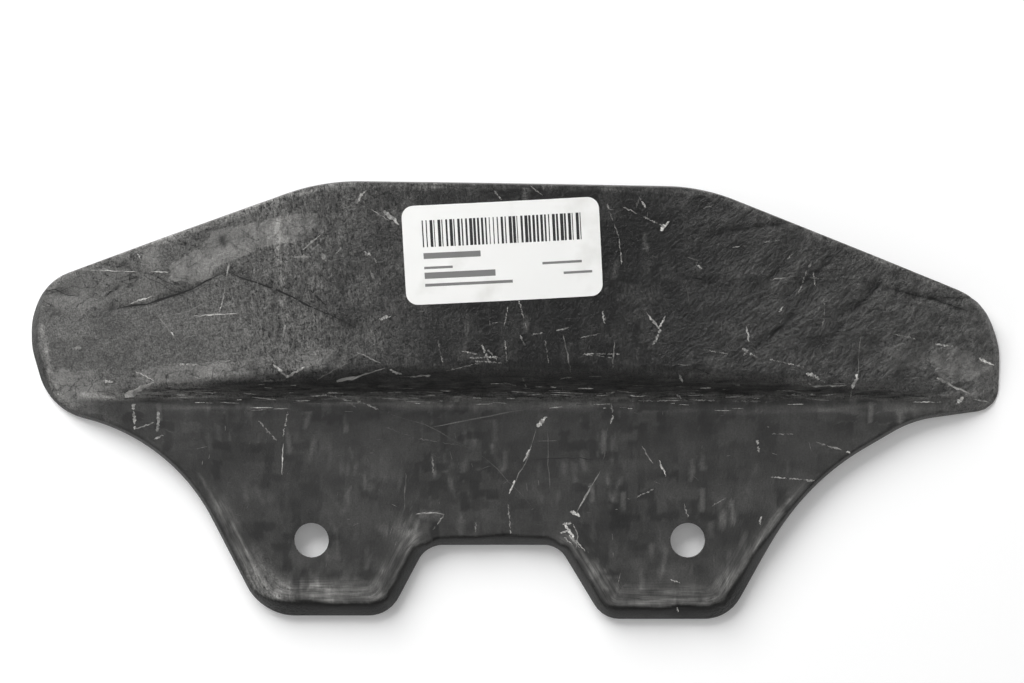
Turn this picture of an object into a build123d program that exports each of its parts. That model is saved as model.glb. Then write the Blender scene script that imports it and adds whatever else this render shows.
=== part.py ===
"""Rear-sprocket chain guard: one carbon laminate moulding and its paper label (mm).

Frame: origin midway between the two bolt holes, on the inner (bag side) face of the flat plate.
+X runs along the guard, +Y from the lugs to the hood, +Z out of the inner face along the bolts.
"""
import os
from math import asin, cos, degrees, radians, sin, tan

from build123d import *

os.makedirs("parts", exist_ok=True)

# Laminate
wall = 1.5
lip_r = 3.0
rest_depth = 5.5

# Bolt holes
hole_pitch = 78.0
hole_d = 7.2

# Step from the flat plate up to the hood
crease_y = 30.0
crease_r = 3.0
riser_deg = 62.0
riser_h = 11.0
fold_r = 5.0

# Hood: an arch along X, carried along a line that climbs towards +Y
hood_tilt = 10.0
arch_x = 4.0
arch_r = 420.0
arch_half = 74.0
shoulder_r = 110.0
shoulder_deg = 40.0
arch_start_y = 20.0

# Lip trim
lip_slope = 0.10
lip_end_drop = 3.2
lip_least = 2.0

# Outline of the moulding seen along Z: corner points and their radii
left_end_x = -97.6
left_end_y = 40.0
left_end_r = 15.0
left_foot = (-93.9, 27.1)
left_foot_r = 12.8
left_knee = (-68.1, 20.6)
left_knee_r = 40.0
left_lug_out = (-49.2, -15.8)
left_lug_out_r = 11.0
left_lug_in = (-23.0, -15.8)
left_lug_in_r = 7.0
notch_left = (-15.2, -1.1)
notch_left_r = 5.6
notch_right = (12.2, -1.1)
notch_right_r = 5.2
right_lug_in = (21.5, -16.5)
right_lug_in_r = 6.0
right_lug_out = (47.6, -16.5)
right_lug_out_r = 8.5
right_knee = (63.3, 11.8)
right_knee_r = 53.0
right_wing = (85.7, 24.8)
right_wing_r = 23.0
right_foot = (103.9, 27.2)
right_foot_r = 5.0
right_end_x = 104.4

# Outline of the hood's trimmed edges on the hood's own tilted plane, and the radii of its corners
hood_left = (-98.2, 14.5)
hood_left_r = 14.0
hood_top_left = (-36.1, 38.1)
hood_top_left_r = 44.0
hood_top_right = (41.2, 36.9)
hood_top_right_r = 40.0
hood_right = (105.0, 10.3)
hood_right_r = 17.0

# Label
label_w = 40.0
label_h = 20.3
label_t = 0.12
label_corner_r = 2.4
label_x = 0.6
label_up = 24.0
label_turn = 3.0

# Reach of the forming blocks, well past the guard on every side
reach = 140.0
depth = 40.0
high = 120.0

# The lip's body stands this much proud of the step's arch, so that the two never share a face
proud = 0.01

# Picking the rim: a wall is upright and an edge runs along it within these cosines
upright = 0.01
level = 0.9

# Corner points of the lower outline and of the hood's trimmed edges
lip_corners = [
    ((left_end_x, high), 0),
    ((left_end_x, left_end_y), left_end_r),
    (left_foot, left_foot_r),
    (left_knee, left_knee_r),
    (left_lug_out, left_lug_out_r),
    (left_lug_in, left_lug_in_r),
    (notch_left, notch_left_r),
    (notch_right, notch_right_r),
    (right_lug_in, right_lug_in_r),
    (right_lug_out, right_lug_out_r),
    (right_knee, right_knee_r),
    (right_wing, right_wing_r),
    (right_foot, right_foot_r),
    ((right_end_x, high), 0),
]
hood_corners = [
    ((hood_left[0], -high), 0),
    (hood_left, hood_left_r),
    (hood_top_left, hood_top_left_r),
    (hood_top_right, hood_top_right_r),
    (hood_right, hood_right_r),
    ((hood_right[0], -high), 0),
]

# Values that follow from the sizes above
fold_y = crease_y + riser_h / tan(radians(riser_deg))
climb = tan(radians(hood_tilt))
up_y = -sin(radians(hood_tilt))
up_z = cos(radians(hood_tilt))
start_z = riser_h + (arch_start_y - fold_y) * climb
arch_plane = Plane(origin=(arch_x, arch_start_y, start_z), x_dir=(1, 0, 0), z_dir=(0, -up_z, up_y))
hood_plane = Plane(origin=(0, fold_y, riser_h), x_dir=(1, 0, 0), z_dir=(0, up_y, up_z))
lip_fade_y = left_lug_in[1] + (rest_depth - lip_least) / lip_slope
lip_front_z = -lip_least - (reach + lip_fade_y) * lip_slope
swing = degrees(asin(arch_half / arch_r))
shoulder_x = (arch_r - shoulder_r) * sin(radians(swing))
shoulder_y = (arch_r - shoulder_r) * cos(radians(swing)) - arch_r


def rounded(corners, amount=0.0):
    """Sketch of a polygon whose corners each have a radius, moved in by amount."""
    with BuildSketch() as shape:
        with BuildLine():
            Polyline([point for point, radius in corners], close=True)
        make_face()
        for point, radius in corners:
            if radius:
                fillet(shape.vertices().sort_by_distance((point[0], point[1], 0))[0], radius)
        if amount:
            offset(amount=-amount, mode=Mode.REPLACE)
    return shape.sketch


def arch_section(inset):
    """Arch of three tangent arcs, closed well below, with every arc moved in by inset."""
    with BuildSketch(arch_plane) as arch:
        with BuildLine():
            CenterArc((0, -arch_r), arch_r - inset, 90 - swing, 2 * swing)
            right = CenterArc(
                (shoulder_x, shoulder_y), shoulder_r - inset, 90 - shoulder_deg, shoulder_deg - swing
            )
            left = CenterArc(
                (-shoulder_x, shoulder_y), shoulder_r - inset, 90 + swing, shoulder_deg - swing
            )
            Polyline(right @ 0, ((right @ 0).X, -reach), ((left @ 1).X, -reach), left @ 1)
        make_face()
    return arch.sketch


def rim_of(block):
    """Edges where the upright outline walls meet the surface above, the open back left out."""
    return [
        edge
        for face in block.faces()
        if abs(face.normal_at().Z) < upright
        for edge in face.edges()
        if (edge @ 0.5).Z > -depth / 2 and abs((edge % 0.5).Z) < level
        and (edge @ 0.5).Y < high - 2 * wall
    ]


def form(inset):
    """Solid under the inner surface of the guard, moved in by inset on every side."""
    slope = tan(radians(riser_deg))
    foot_y = crease_y + inset * tan(radians(riser_deg) / 2)
    cove = (crease_r + inset) * tan(radians(riser_deg) / 2)
    cove_y = foot_y + cove * cos(radians(riser_deg))
    cove_z = cove * sin(radians(riser_deg)) - inset

    # Hood carried on over the whole outline, with the lip rolled round it
    with BuildPart() as hood:
        extrude(arch_section(inset - proud), amount=reach, both=True)
        with BuildSketch(Plane.XY.offset(-depth)):
            add(rounded(lip_corners, inset))
        extrude(amount=2 * depth, mode=Mode.INTERSECT)
        fillet(rim_of(hood), lip_r - inset)
        # In front of the arch the flat plate is left whole
        with BuildSketch(Plane.XY.offset(-depth)):
            with Locations((0, arch_start_y)):
                Rectangle(2 * reach, reach, align=(Align.CENTER, Align.MAX))
        extrude(amount=2 * depth)

    # Steep riser with the rounded fold above it
    with BuildPart() as step:
        extrude(arch_section(inset), amount=reach, both=True)
        with BuildSketch(Plane.YZ.offset(-reach)):
            with BuildLine():
                Polyline(
                    (foot_y - (depth - inset) / slope, -depth),
                    (foot_y + (depth + inset) / slope, depth),
                    (reach, depth),
                    (reach, -depth),
                    close=True,
                )
            make_face()
        extrude(amount=2 * reach, mode=Mode.INTERSECT)
        fold = [
            edge
            for edge in step.edges()
            if edge.geom_type == GeomType.ELLIPSE and (edge @ 0.5).Y < fold_y + wall
        ]
        fillet(fold, fold_r - inset)

    # Flat plate with the lip rolled round it, the riser and the cove between them
    with BuildPart() as block:
        with BuildSketch(Plane.XY.offset(-depth)):
            add(rounded(lip_corners, inset))
        extrude(amount=depth - inset)
        fillet(rim_of(block), lip_r - inset)
        with BuildSketch(Plane.YZ.offset(-reach)):
            with BuildLine():
                TangentArc((foot_y - cove, -inset), (cove_y, cove_z), tangent=(1, 0))
                Polyline(
                    (cove_y, cove_z),
                    (cove_y, -depth / 2),
                    (foot_y - cove, -depth / 2),
                    (foot_y - cove, -inset),
                )
            make_face()
        extrude(amount=2 * reach)
        add(step)
        add(hood, mode=Mode.INTERSECT)
    return block.part


# The moulding: one wall of laminate, trimmed along its lips and the hood's edges, and drilled
with BuildPart() as chain_guard:
    add(form(0))
    add(form(wall), mode=Mode.SUBTRACT)
    # Plain trimmed edges of the hood, square to its tilted plane
    with BuildSketch(hood_plane):
        add(rounded(hood_corners))
    extrude(amount=high, both=True, mode=Mode.INTERSECT)
    # Lip trim: a slope from the lugs to the wings, lower at both ends, and flat where the guard rests
    with BuildPart(mode=Mode.SUBTRACT):
        extrude(arch_section(lip_end_drop), amount=reach, both=True)
        with BuildSketch(Plane.YZ.offset(-reach)):
            with BuildLine():
                Polyline(
                    (-reach, lip_front_z),
                    (lip_fade_y, -lip_least),
                    (reach, -lip_least),
                    (reach, -2 * depth),
                    (-reach, -2 * depth),
                    close=True,
                )
            make_face()
        extrude(amount=2 * reach, mode=Mode.INTERSECT)
    with BuildSketch(Plane.XY.offset(-rest_depth)):
        Rectangle(2 * reach, 2 * reach)
    extrude(amount=-2 * depth, mode=Mode.SUBTRACT)
    # Bolt holes
    with BuildSketch():
        with GridLocations(hole_pitch, 1, 2, 1):
            Circle(hole_d / 2)
    extrude(amount=depth, both=True, mode=Mode.SUBTRACT)
chain_guard.part.label = "chain_guard"
export_step(chain_guard.part, "parts/chain_guard.step")

# The paper label, bent to the hood under it
with BuildPart() as label:
    extrude(arch_section(-label_t), amount=reach, both=True)
    extrude(arch_section(0), amount=reach, both=True, mode=Mode.SUBTRACT)
    with BuildSketch(hood_plane):
        with Locations(Location((label_x, label_up, 0), (0, 0, label_turn))):
            RectangleRounded(label_w, label_h, label_corner_r)
    extrude(amount=depth / 4, both=True, mode=Mode.INTERSECT)
label.part.label = "label"
export_step(label.part, "parts/label.step")
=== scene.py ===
import math

import bpy
import numpy as np
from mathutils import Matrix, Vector


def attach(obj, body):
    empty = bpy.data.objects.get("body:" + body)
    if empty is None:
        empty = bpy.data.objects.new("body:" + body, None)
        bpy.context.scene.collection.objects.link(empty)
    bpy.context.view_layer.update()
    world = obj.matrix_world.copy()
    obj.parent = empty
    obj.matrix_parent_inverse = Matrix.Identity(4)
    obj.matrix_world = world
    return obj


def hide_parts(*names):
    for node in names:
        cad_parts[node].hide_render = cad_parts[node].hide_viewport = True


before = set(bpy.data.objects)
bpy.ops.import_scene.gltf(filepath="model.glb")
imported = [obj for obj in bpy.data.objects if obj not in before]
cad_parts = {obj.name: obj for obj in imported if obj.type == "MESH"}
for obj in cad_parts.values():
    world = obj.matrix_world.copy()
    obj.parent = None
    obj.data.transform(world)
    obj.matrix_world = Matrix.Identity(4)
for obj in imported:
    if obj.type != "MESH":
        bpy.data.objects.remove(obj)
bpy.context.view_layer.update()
mm = 0.001
print("frame loaded:", sorted(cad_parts))


# Helpers for colours and patterns
def linear(hexColour):
    # sRGB hex to linear light, one channel at a time
    parts = [int(hexColour[i:i + 2], 16) / 255 for i in (1, 3, 5)]
    return tuple(c / 12.92 if c <= 0.04045 else ((c + 0.055) / 1.055) ** 2.4 for c in parts) + (1.0,)


def linearGrey(grey):
    # the same for an array of grey levels from 0 to 255
    c = np.clip(grey, 0, 255) / 255
    return np.where(c <= 0.04045, c / 12.92, ((c + 0.055) / 1.055) ** 2.4)


def smooth(low, high, value):
    # 0 below low, 1 above high, an S curve between
    t = np.clip((value - low) / (high - low), 0, 1)
    return t * t * (3 - 2 * t)


def dealt(i, j, seed):
    # a random number from 0 to 1 for each pair of whole numbers
    return np.random.RandomState(seed).rand(256, 256)[i.astype(int) & 255, j.astype(int) & 255]


def ripple(x, y, seed):
    # gradient noise, about -1 to 1: a random slope at each lattice corner, blended by a quintic step;
    # a place in mm is divided by the pattern's size in mm before it comes here
    turn = np.random.RandomState(seed).rand(256, 256) * 2 * np.pi
    xi, yi = np.floor(x).astype(int), np.floor(y).astype(int)
    fx, fy = x - xi, y - yi

    def corner(i, j):
        a = turn[(xi + i) & 255, (yi + j) & 255]
        return np.cos(a) * (fx - i) + np.sin(a) * (fy - j)

    ux = fx ** 3 * (fx * (fx * 6 - 15) + 10)
    uy = fy ** 3 * (fy * (fy * 6 - 15) + 10)
    near = corner(0, 0) * (1 - ux) + corner(1, 0) * ux
    far = corner(0, 1) * (1 - ux) + corner(1, 1) * ux
    return (near * (1 - uy) + far * uy) * 1.5


def smoke(x, y, seed):
    # three ripples, each half as wide and half as strong as the one before
    wide, mid, small = [ripple(k * x, k * y, seed + i) for i, k in enumerate((1, 2, 4))]
    return (wide + mid / 2 + small / 4) / 1.4


def ridged(x, y, seed):
    # noise folded about zero, so that it has sharp crests
    return 1 - 2 * np.abs(ripple(x, y, seed))


def facets(x, y, seed):
    # cells round scattered points: a random shade for each cell, and the distance from its border
    i, j = np.floor(x), np.floor(y)
    first = np.full(x.shape, 9.0)
    second = np.full(x.shape, 9.0)
    shade = np.zeros(x.shape)
    for di in (-1, 0, 1):
        for dj in (-1, 0, 1):
            a, b = i + di, j + dj
            away = np.hypot(a + dealt(a, b, seed) - x, b + dealt(a, b, seed + 1) - y)
            closer = away < first
            second = np.where(closer, first, np.minimum(second, away))
            shade = np.where(closer, dealt(a, b, seed + 2), shade)
            first = np.where(closer, away, first)
    return shade, second - first


def twill(x, y, tow, seed):
    # two-by-two twill: each tow passes over two and under two, and each float has its own shade
    i, j = np.floor(x / tow), np.floor(y / tow)
    upright = (i - j) % 4 < 2
    column = dealt(i, (j - i + 1) // 4, seed)
    row = dealt(j, (i - j - 2) // 4, seed + 1)
    across = np.where(upright, x / tow - i, y / tow - j) - 0.5
    return np.where(upright, column, row), upright, across


def inside(run, x, y):
    # a point is inside a closed run where a level line from it crosses the run an odd number of times
    odd = np.zeros(x.shape, bool)
    for (ax, ay), (bx, by) in zip(run, run[1:] + run[:1]):
        spans = (ay > y) != (by > y)
        odd ^= spans & (x < ax + (y - ay) * (bx - ax) / (by - ay if by != ay else 1.0))
    return odd


def runDistance(points, x, y):
    # least distance from each grid point to a run of straight pieces
    best = np.full(x.shape, 1e9)
    for (ax, ay), (bx, by) in zip(points, points[1:]):
        t = np.clip(((x - ax) * (bx - ax) + (y - ay) * (by - ay)) / ((bx - ax) ** 2 + (by - ay) ** 2), 0, 1)
        best = np.minimum(best, np.hypot(x - ax - t * (bx - ax), y - ay - t * (by - ay)))
    return best

# The moulding's own sizes in mm, as in the part's source
form = {
    "wall": 1.5, "lipRadius": 3.0, "restDepth": 5.5, "lipSlope": 0.10, "lipLeast": 2.0, "lipEndDrop": 3.2,
    "creaseY": 30.0, "creaseRadius": 3.0, "riserDeg": 62.0, "riserHeight": 11.0, "foldBlend": 2.0,
    "tilt": math.radians(10.0), "archX": 4.0, "archRadius": 420.0, "archHalf": 74.0, "shoulderRadius": 110.0,
    "holePitch": 78.0, "holeRadius": 3.6, "lugY": -15.8,
    "lowerOutline": [
        (-97.6, 42.7, 0), (-97.6, 40.0, 15), (-93.9, 27.1, 12.8), (-68.1, 20.6, 40), (-49.2, -15.8, 11),
        (-23.0, -15.8, 7), (-15.2, -1.1, 5.6), (12.2, -1.1, 5.2), (21.5, -16.5, 6), (47.6, -16.5, 8.5),
        (63.3, 11.8, 53), (85.7, 24.8, 23), (103.9, 27.2, 5), (104.2, 36.0, 0),
    ],
    "hoodEdge": [
        (104.2, -2.45, 0), (104.2, 10.3, 17), (41.2, 36.9, 40), (-36.1, 38.1, 44), (-97.6, 14.5, 14),
        (-97.6, 4.24, 0),
    ],
    # width of the lip's slanted inner side: its least, how much it wanders, and what each place adds
    "lipNarrow": 0.9, "lipWander": 0.3, "lipUnderLugs": 2.0, "lipInLeftLug": 1.4, "lipOverNotch": 1.2,
    "lipOutRightLug": 1.9, "lipInRightLug": 0.9, "lipAtEnds": 0.8,
    # its hollow: how it bends, and its share of the drop where the lip is narrow and where it is wide
    "hollowPower": 1.4, "hollowWidths": [0.9, 2.2], "hollowShares": [0.5, 1.0],
    # the least share of a lip where the edge nears the table, and the bare edge's round, drop and least wall
    "lipClear": 0.4, "lipLeastShare": 0.15, "bareRound": 0.3, "bareRoundShare": 0.8, "bareDrop": 0.25,
    "leastWall": 0.2,
}
riser = math.radians(form["riserDeg"])
foldY = form["creaseY"] + form["riserHeight"] / math.tan(riser)


def archDrop(x):
    # how far the arch lies under its crown: one wide arc, then a tighter tangent arc on each shoulder
    wide, tight, half = form["archRadius"], form["shoulderRadius"], form["archHalf"]
    swing = math.asin(half / wide)
    centreX, centreZ = (wide - tight) * math.sin(swing), (wide - tight) * math.cos(swing) - wide
    off = np.abs(x - form["archX"])
    crown = wide - np.sqrt(wide ** 2 - np.minimum(off, half) ** 2)
    shoulder = -centreZ - np.sqrt(np.maximum(tight ** 2 - (off - centreX) ** 2, 0))
    return np.where(off <= half, crown, shoulder)


def hoodHeight(x, y):
    # the arch carried along a line that climbs towards +Y
    return form["riserHeight"] + (y - foldY) * math.tan(form["tilt"]) - archDrop(x) / math.cos(form["tilt"])


def plateHeight(y):
    # flat, then a cove arc, then the straight riser
    r = form["creaseRadius"]
    start = form["creaseY"] - r * math.tan(riser / 2)
    end = start + r * math.sin(riser)
    cove = r - np.sqrt(np.maximum(r * r - np.clip(y - start, 0, r * math.sin(riser)) ** 2, 0))
    return cove + np.maximum(y - end, 0) * math.tan(riser)


def innerFace(x, y):
    # the lower of the stepped plate and the hood, with a smooth minimum over the fold
    plate, hood, k = plateHeight(y), hoodHeight(x, y), form["foldBlend"]
    share = np.clip(0.5 + 0.5 * (hood - plate) / k, 0, 1)
    share = np.where(y < 20, 1.0, share)
    return hood + (plate - hood) * share - k * share * (1 - share)


def innerNormal(x, y):
    # the slope of the face by small differences
    e = 0.05
    dx = (innerFace(x + e, y) - innerFace(x - e, y)) / (2 * e)
    dy = (innerFace(x, y + e) - innerFace(x, y - e)) / (2 * e)
    n = np.stack([-dx, -dy, np.ones_like(dx)], -1)
    return n / np.linalg.norm(n, axis=-1, keepdims=True)


def roundedPath(corners):
    # a run of corners, each turned into an arc that starts radius*tan(turn/2) before it
    points = [np.array([corners[0][:2]], float)]
    for (ax, ay, _), (bx, by, r), (cx, cy, _) in zip(corners, corners[1:], corners[2:]):
        a, b, c = np.array([ax, ay]), np.array([bx, by]), np.array([cx, cy])
        p, q = (b - a) / np.linalg.norm(b - a), (c - b) / np.linalg.norm(c - b)
        turn = math.atan2(p[0] * q[1] - p[1] * q[0], p @ q)
        side = math.copysign(1, turn)
        start = b - p * r * math.tan(abs(turn) / 2)
        centre = start + side * r * np.array([-p[1], p[0]])
        sweep = np.linspace(0, turn, max(8, int(abs(turn) * r / 0.1)))
        (armX, armY), cos, sin = start - centre, np.cos(sweep), np.sin(sweep)
        points.append(centre + np.stack([armX * cos - armY * sin, armX * sin + armY * cos], -1))
    points.append(np.array([corners[-1][:2]], float))
    return np.concatenate(points)


def guardOutline(step=0.1):
    # the closed outline seen along Z, evenly stepped, with its inward normal and the share of lip it carries
    lower = roundedPath(form["lowerOutline"])
    upper = roundedPath(form["hoodEdge"])
    lift = (upper[:, 1] + archDrop(upper[:, 0]) * math.tan(form["tilt"])) * math.cos(form["tilt"])
    upper = np.stack([upper[:, 0], foldY + lift], -1)
    path = np.concatenate([lower, upper[1:]])
    run = np.concatenate([[0], np.cumsum(np.linalg.norm(np.diff(path, axis=0), axis=1))])
    keep = np.concatenate([[True], np.diff(run) > 1e-6])
    path, run = path[keep], run[keep]
    count = int(run[-1] / step)
    s = np.arange(count) * run[-1] / count
    x, y = np.interp(s, run, path[:, 0]), np.interp(s, run, path[:, 1])
    tx, ty = np.roll(x, -3) - np.roll(x, 3), np.roll(y, -3) - np.roll(y, 3)
    size = np.hypot(tx, ty)
    nx, ny = -ty / size, tx / size
    onHood = s > run[len(lower[keep[:len(lower)]]) - 1]
    lip = np.where(onHood, smooth(0.45, 0.97, np.abs(nx)), 1.0)
    # the lip is wider under the lugs, inside the left one, over the notch, at both sides of the right lug
    # and at the guard's ends
    under = smooth(0.5, 0.95, ny) * (1 - smooth(-12, -6, y))
    inner = smooth(0.3, 0.8, -nx) * smooth(-30, -24, x) * (1 - smooth(-16, -10, x)) * (1 - smooth(-2, 4, y))
    ends = smooth(0.7, 1.0, np.abs(nx)) * smooth(85, 93, np.abs(x))
    notch = smooth(0.7, 0.95, ny) * smooth(-16, -12, x) * (1 - smooth(9, 13, x))
    notch = notch * (1 - smooth(2, 6, y)) * smooth(-6, -3, y)
    outer = smooth(0.3, 0.8, -nx) * smooth(38, 46, x) * (1 - smooth(-10, 5, y))
    facing = smooth(0.3, 0.8, nx) * smooth(10, 13, x) * (1 - smooth(22, 26, x)) * (1 - smooth(-2, 4, y))
    wider = {
        "lipUnderLugs": under, "lipInLeftLug": inner, "lipOverNotch": notch, "lipOutRightLug": outer,
        "lipInRightLug": facing, "lipAtEnds": ends,
    }
    extra = np.max([form[key] * share for key, share in wider.items()], axis=0)
    lipWide = form["lipNarrow"] + extra * (1 + form["lipWander"] * ripple(s / 7, s / 50, 101))
    return {"x": x, "y": y, "nx": nx, "ny": ny, "lip": lip, "lipWide": lipWide, "s": s, "length": run[-1]}


# Grid of the moulding: columns along X, rows from the lugs to the crease and on to the hood's edge
mesh = {
    "columns": 384, "lowerRows": 68, "upperRows": 68, "creaseRows": 16, "creaseShare": 0.45, "middleY": 32.0,
    "rings": [2.9, 2.5, 2.1, 1.75, 1.4, 1.1, 0.82, 0.58, 0.38, 0.22, 0.1, 0.03, 0.0],
    "inset": 3.4, "wallRows": 3, "holeBlock": 12, "holeRing": 6,
}
line = guardOutline()
print("outline", len(line["x"]), "points,", round(line["length"], 1), "mm round")


def along(s, name):
    # a value of the outline at places round it, its start repeated at its end
    places, values = np.append(line["s"], line["length"]), np.append(line[name], line[name][0])
    return np.interp(s % line["length"], places, values)


def nearest(x, y):
    # the outline sample that lies closest to a corner
    return int(np.argmin((line["x"] - x) ** 2 + (line["y"] - y) ** 2))


def spread(count, dense, share):
    # fractions from 0 to 1 whose last steps are finer
    steps = np.where(np.arange(count) >= count - dense, share, 1.0)
    return np.concatenate([[0], np.cumsum(steps) / steps.sum()])


insetX = line["x"] + line["nx"] * mesh["inset"]
insetY = line["y"] + line["ny"] * mesh["inset"]
lowLeft, lowRight = nearest(-93.9, 27.1), nearest(103.9, 27.2)
highRight, highLeft = nearest(104.2, 52.0), nearest(-97.6, 55.0)
u = np.linspace(0, 1, mesh["columns"] + 1)


def sideRun(first, last, target, values):
    # arc positions between two outline samples where the inset path's value reaches each target
    i = np.arange(first, last + 1) % len(line["s"])
    s = line["s"][i] + np.where(np.arange(first, last + 1) >= len(line["s"]), line["length"], 0)
    order = np.argsort(values[i])
    return np.interp(target, values[i][order], s[order])


total = len(line["s"])
bottomS = sideRun(lowLeft, lowRight, insetX[lowLeft] + u * (insetX[lowRight] - insetX[lowLeft]), insetX)
topS = sideRun(highRight, highLeft, insetX[highLeft] + u * (insetX[highRight] - insetX[highLeft]), insetX)
rightMid = lowRight + int(np.argmin(np.abs(insetY[lowRight:highRight] - mesh["middleY"])))
leftLoop = np.arange(highLeft, total + lowLeft + 1)
leftMid = highLeft + int(np.argmin(np.abs(insetY[leftLoop % total] - mesh["middleY"])))
stepLength = line["length"] / total
lowShare = spread(mesh["lowerRows"], mesh["creaseRows"], mesh["creaseShare"])
highShare = 1 - spread(mesh["upperRows"], mesh["creaseRows"], mesh["creaseShare"])[::-1]


def endRun(first, mid, last):
    # places round the outline up one end of the guard, finer towards the crease
    lower, upper = first + lowShare * (mid - first), mid + highShare * (last - mid)
    return np.concatenate([lower, upper[1:]]) * stepLength


def insetPoint(s):
    # a place inside the outline by the inset
    return np.stack([along(s, axis) + along(s, "n" + axis) * mesh["inset"] for axis in "xy"], -1)


rightS = endRun(lowRight, rightMid, highRight)
leftS = endRun(total + lowLeft, leftMid, highLeft)
lowSide, highSide, leftSide, rightSide = [insetPoint(s) for s in (bottomS, topS, leftS, rightS)]
nLow = mesh["lowerRows"]
midLine = leftSide[nLow] + u[:, None] * (rightSide[nLow] - leftSide[nLow])


def patch(low, high, first, last, share):
    # Coons patch: the two long sides blended, plus the two ends blended, less the corners
    v, w = share[:, None, None], u[None, :, None]
    sides = (1 - v) * low[None] + v * high[None]
    ends = (1 - w) * first[:, None] + w * last[:, None]
    corners = (1 - v) * ((1 - w) * low[0] + w * low[-1]) + v * ((1 - w) * high[0] + w * high[-1])
    return sides + ends - corners


lowerPatch = patch(lowSide, midLine, leftSide[:nLow + 1], rightSide[:nLow + 1], lowShare)
upperPatch = patch(midLine, highSide, leftSide[nLow:], rightSide[nLow:], highShare)
plan = np.concatenate([lowerPatch, upperPatch[1:]])
rows, cols = plan.shape[:2]

# Bolt holes: a square block of the grid is drawn to a circle, ring by ring
holeLoops = []
solid = np.ones((rows - 1, cols - 1), bool)
for holeX in (-form["holePitch"] / 2, form["holePitch"] / 2):
    flat = np.argmin(((plan - [holeX, 0]) ** 2).sum(-1))
    j, i = divmod(int(flat), cols)
    j, i = 2 * round(j / 2), 2 * round(i / 2)
    n, core = mesh["holeBlock"], mesh["holeRing"]
    a, b = np.meshgrid(np.arange(-n, n + 1), np.arange(-n, n + 1))
    ring = np.maximum(np.maximum(np.abs(a), np.abs(b)), 1)
    block = plan[j - n:j + n + 1, i - n:i + n + 1].copy()
    edge = block[n, n] + (block - block[n, n]) * (n / ring)[..., None]
    level = math.pi / 4 * b / np.where(a == 0, 1, a) + np.where(a < 0, math.pi, 0)
    steep = math.pi / 2 * np.sign(b) - math.pi / 4 * a / np.where(b == 0, 1, b)
    swing = np.where(np.abs(a) >= np.abs(b), level, steep)
    circle = np.stack([holeX + form["holeRadius"] * np.cos(swing), form["holeRadius"] * np.sin(swing)], -1)
    out = np.clip((ring - core) / (n - core), 0, 1)[..., None]
    plan[j - n:j + n + 1, i - n:i + n + 1] = circle + (edge - circle) * out
    solid[j - core:j + core, i - core:i + core] = False
    k = np.arange(-core, core)
    loopJ = np.concatenate([np.full(2 * core, j - core), j + k, np.full(2 * core, j + core), j - k])
    loopI = np.concatenate([i + k, np.full(2 * core, i + core), i - k, np.full(2 * core, i - core)])
    holeLoops.append((loopJ, loopI))
print("plan grid", rows, "by", cols)
cross = np.cross(plan[1:, 1:] - plan[:-1, :-1], plan[1:, :-1] - plan[:-1, 1:])
print("turned cells:", int(((cross <= 0) & solid).sum()))


# Lip: a quarter round along the outline, then a short upright wall down to the trimmed edge
perimeterS = np.concatenate([bottomS, rightS[1:], topS[::-1][1:], leftS[::-1][1:-1]])
lip = along(perimeterS, "lip")
edgeX, edgeY = along(perimeterS, "x"), along(perimeterS, "y")
inX, inY = along(perimeterS, "nx"), along(perimeterS, "ny")
edgeBase = innerFace(edgeX, edgeY)
room = (edgeBase + form["restDepth"] - form["lipClear"]) / form["lipRadius"]
lipShare = lip * np.clip(room, form["lipLeastShare"], 1)


def roll(radius, d):
    # drop of a quarter round at distance d inside the edge
    return radius - np.sqrt(np.maximum(radius ** 2 - np.maximum(radius - d, 0) ** 2, 0))


rings = np.array(mesh["rings"])[:, None]
ringX, ringY = edgeX + inX * rings, edgeY + inY * rings
lipLine = np.minimum(-form["restDepth"] + form["lipSlope"] * (edgeY - form["lugY"]), -form["lipLeast"])
lipLine = np.maximum(np.minimum(lipLine, hoodHeight(edgeX, edgeY) - form["lipEndDrop"]), -form["restDepth"])
fall = (np.arange(1, mesh["wallRows"] + 1) / mesh["wallRows"])[:, None]
face = np.concatenate([plan, innerFace(plan[..., 0], plan[..., 1])[..., None]], -1)

# Normals: from the face's slope inside, from the strip's own run and fall on the lip
faceNormal = innerNormal(plan[..., 0], plan[..., 1])
runJ = np.concatenate([
    np.zeros(cols, int), np.arange(1, rows), np.full(cols - 1, rows - 1), np.arange(rows - 2, 0, -1)])
runI = np.concatenate([
    np.arange(cols), np.full(rows - 1, cols - 1), np.arange(cols - 2, -1, -1), np.zeros(rows - 2, int)])


def lipStrip(drop):
    # rings that fall by the drop, then the wall; and their normals
    bare = (1 - lip) * form["bareRoundShare"] * roll(form["bareRound"], rings)
    ringZ = innerFace(ringX, ringY) - lipShare * drop - bare
    endZ = lip * lipLine + (1 - lip) * (ringZ[-1] - form["bareDrop"])
    endZ = np.minimum(endZ, ringZ[-1] - form["leastWall"])
    wallZ = ringZ[-1] + (endZ - ringZ[-1]) * fall
    wall = np.stack([np.broadcast_to(edgeX, wallZ.shape), np.broadcast_to(edgeY, wallZ.shape), wallZ], -1)
    strip = np.concatenate([np.stack([ringX, ringY, ringZ], -1), wall])
    tall = np.concatenate([face[runJ, runI][None], strip])
    downhill = np.gradient(tall, axis=0)
    downhill[-1] = tall[-1] - tall[-2]
    around = np.roll(tall, -1, 1) - np.roll(tall, 1, 1)
    normal = np.cross(downhill, around)
    normal /= np.linalg.norm(normal, axis=-1, keepdims=True)
    normal = lip[:, None] * normal[1:] + (1 - lip[:, None]) * innerNormal(strip[..., 0], strip[..., 1])
    return strip, normal / np.linalg.norm(normal, axis=-1, keepdims=True)


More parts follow.
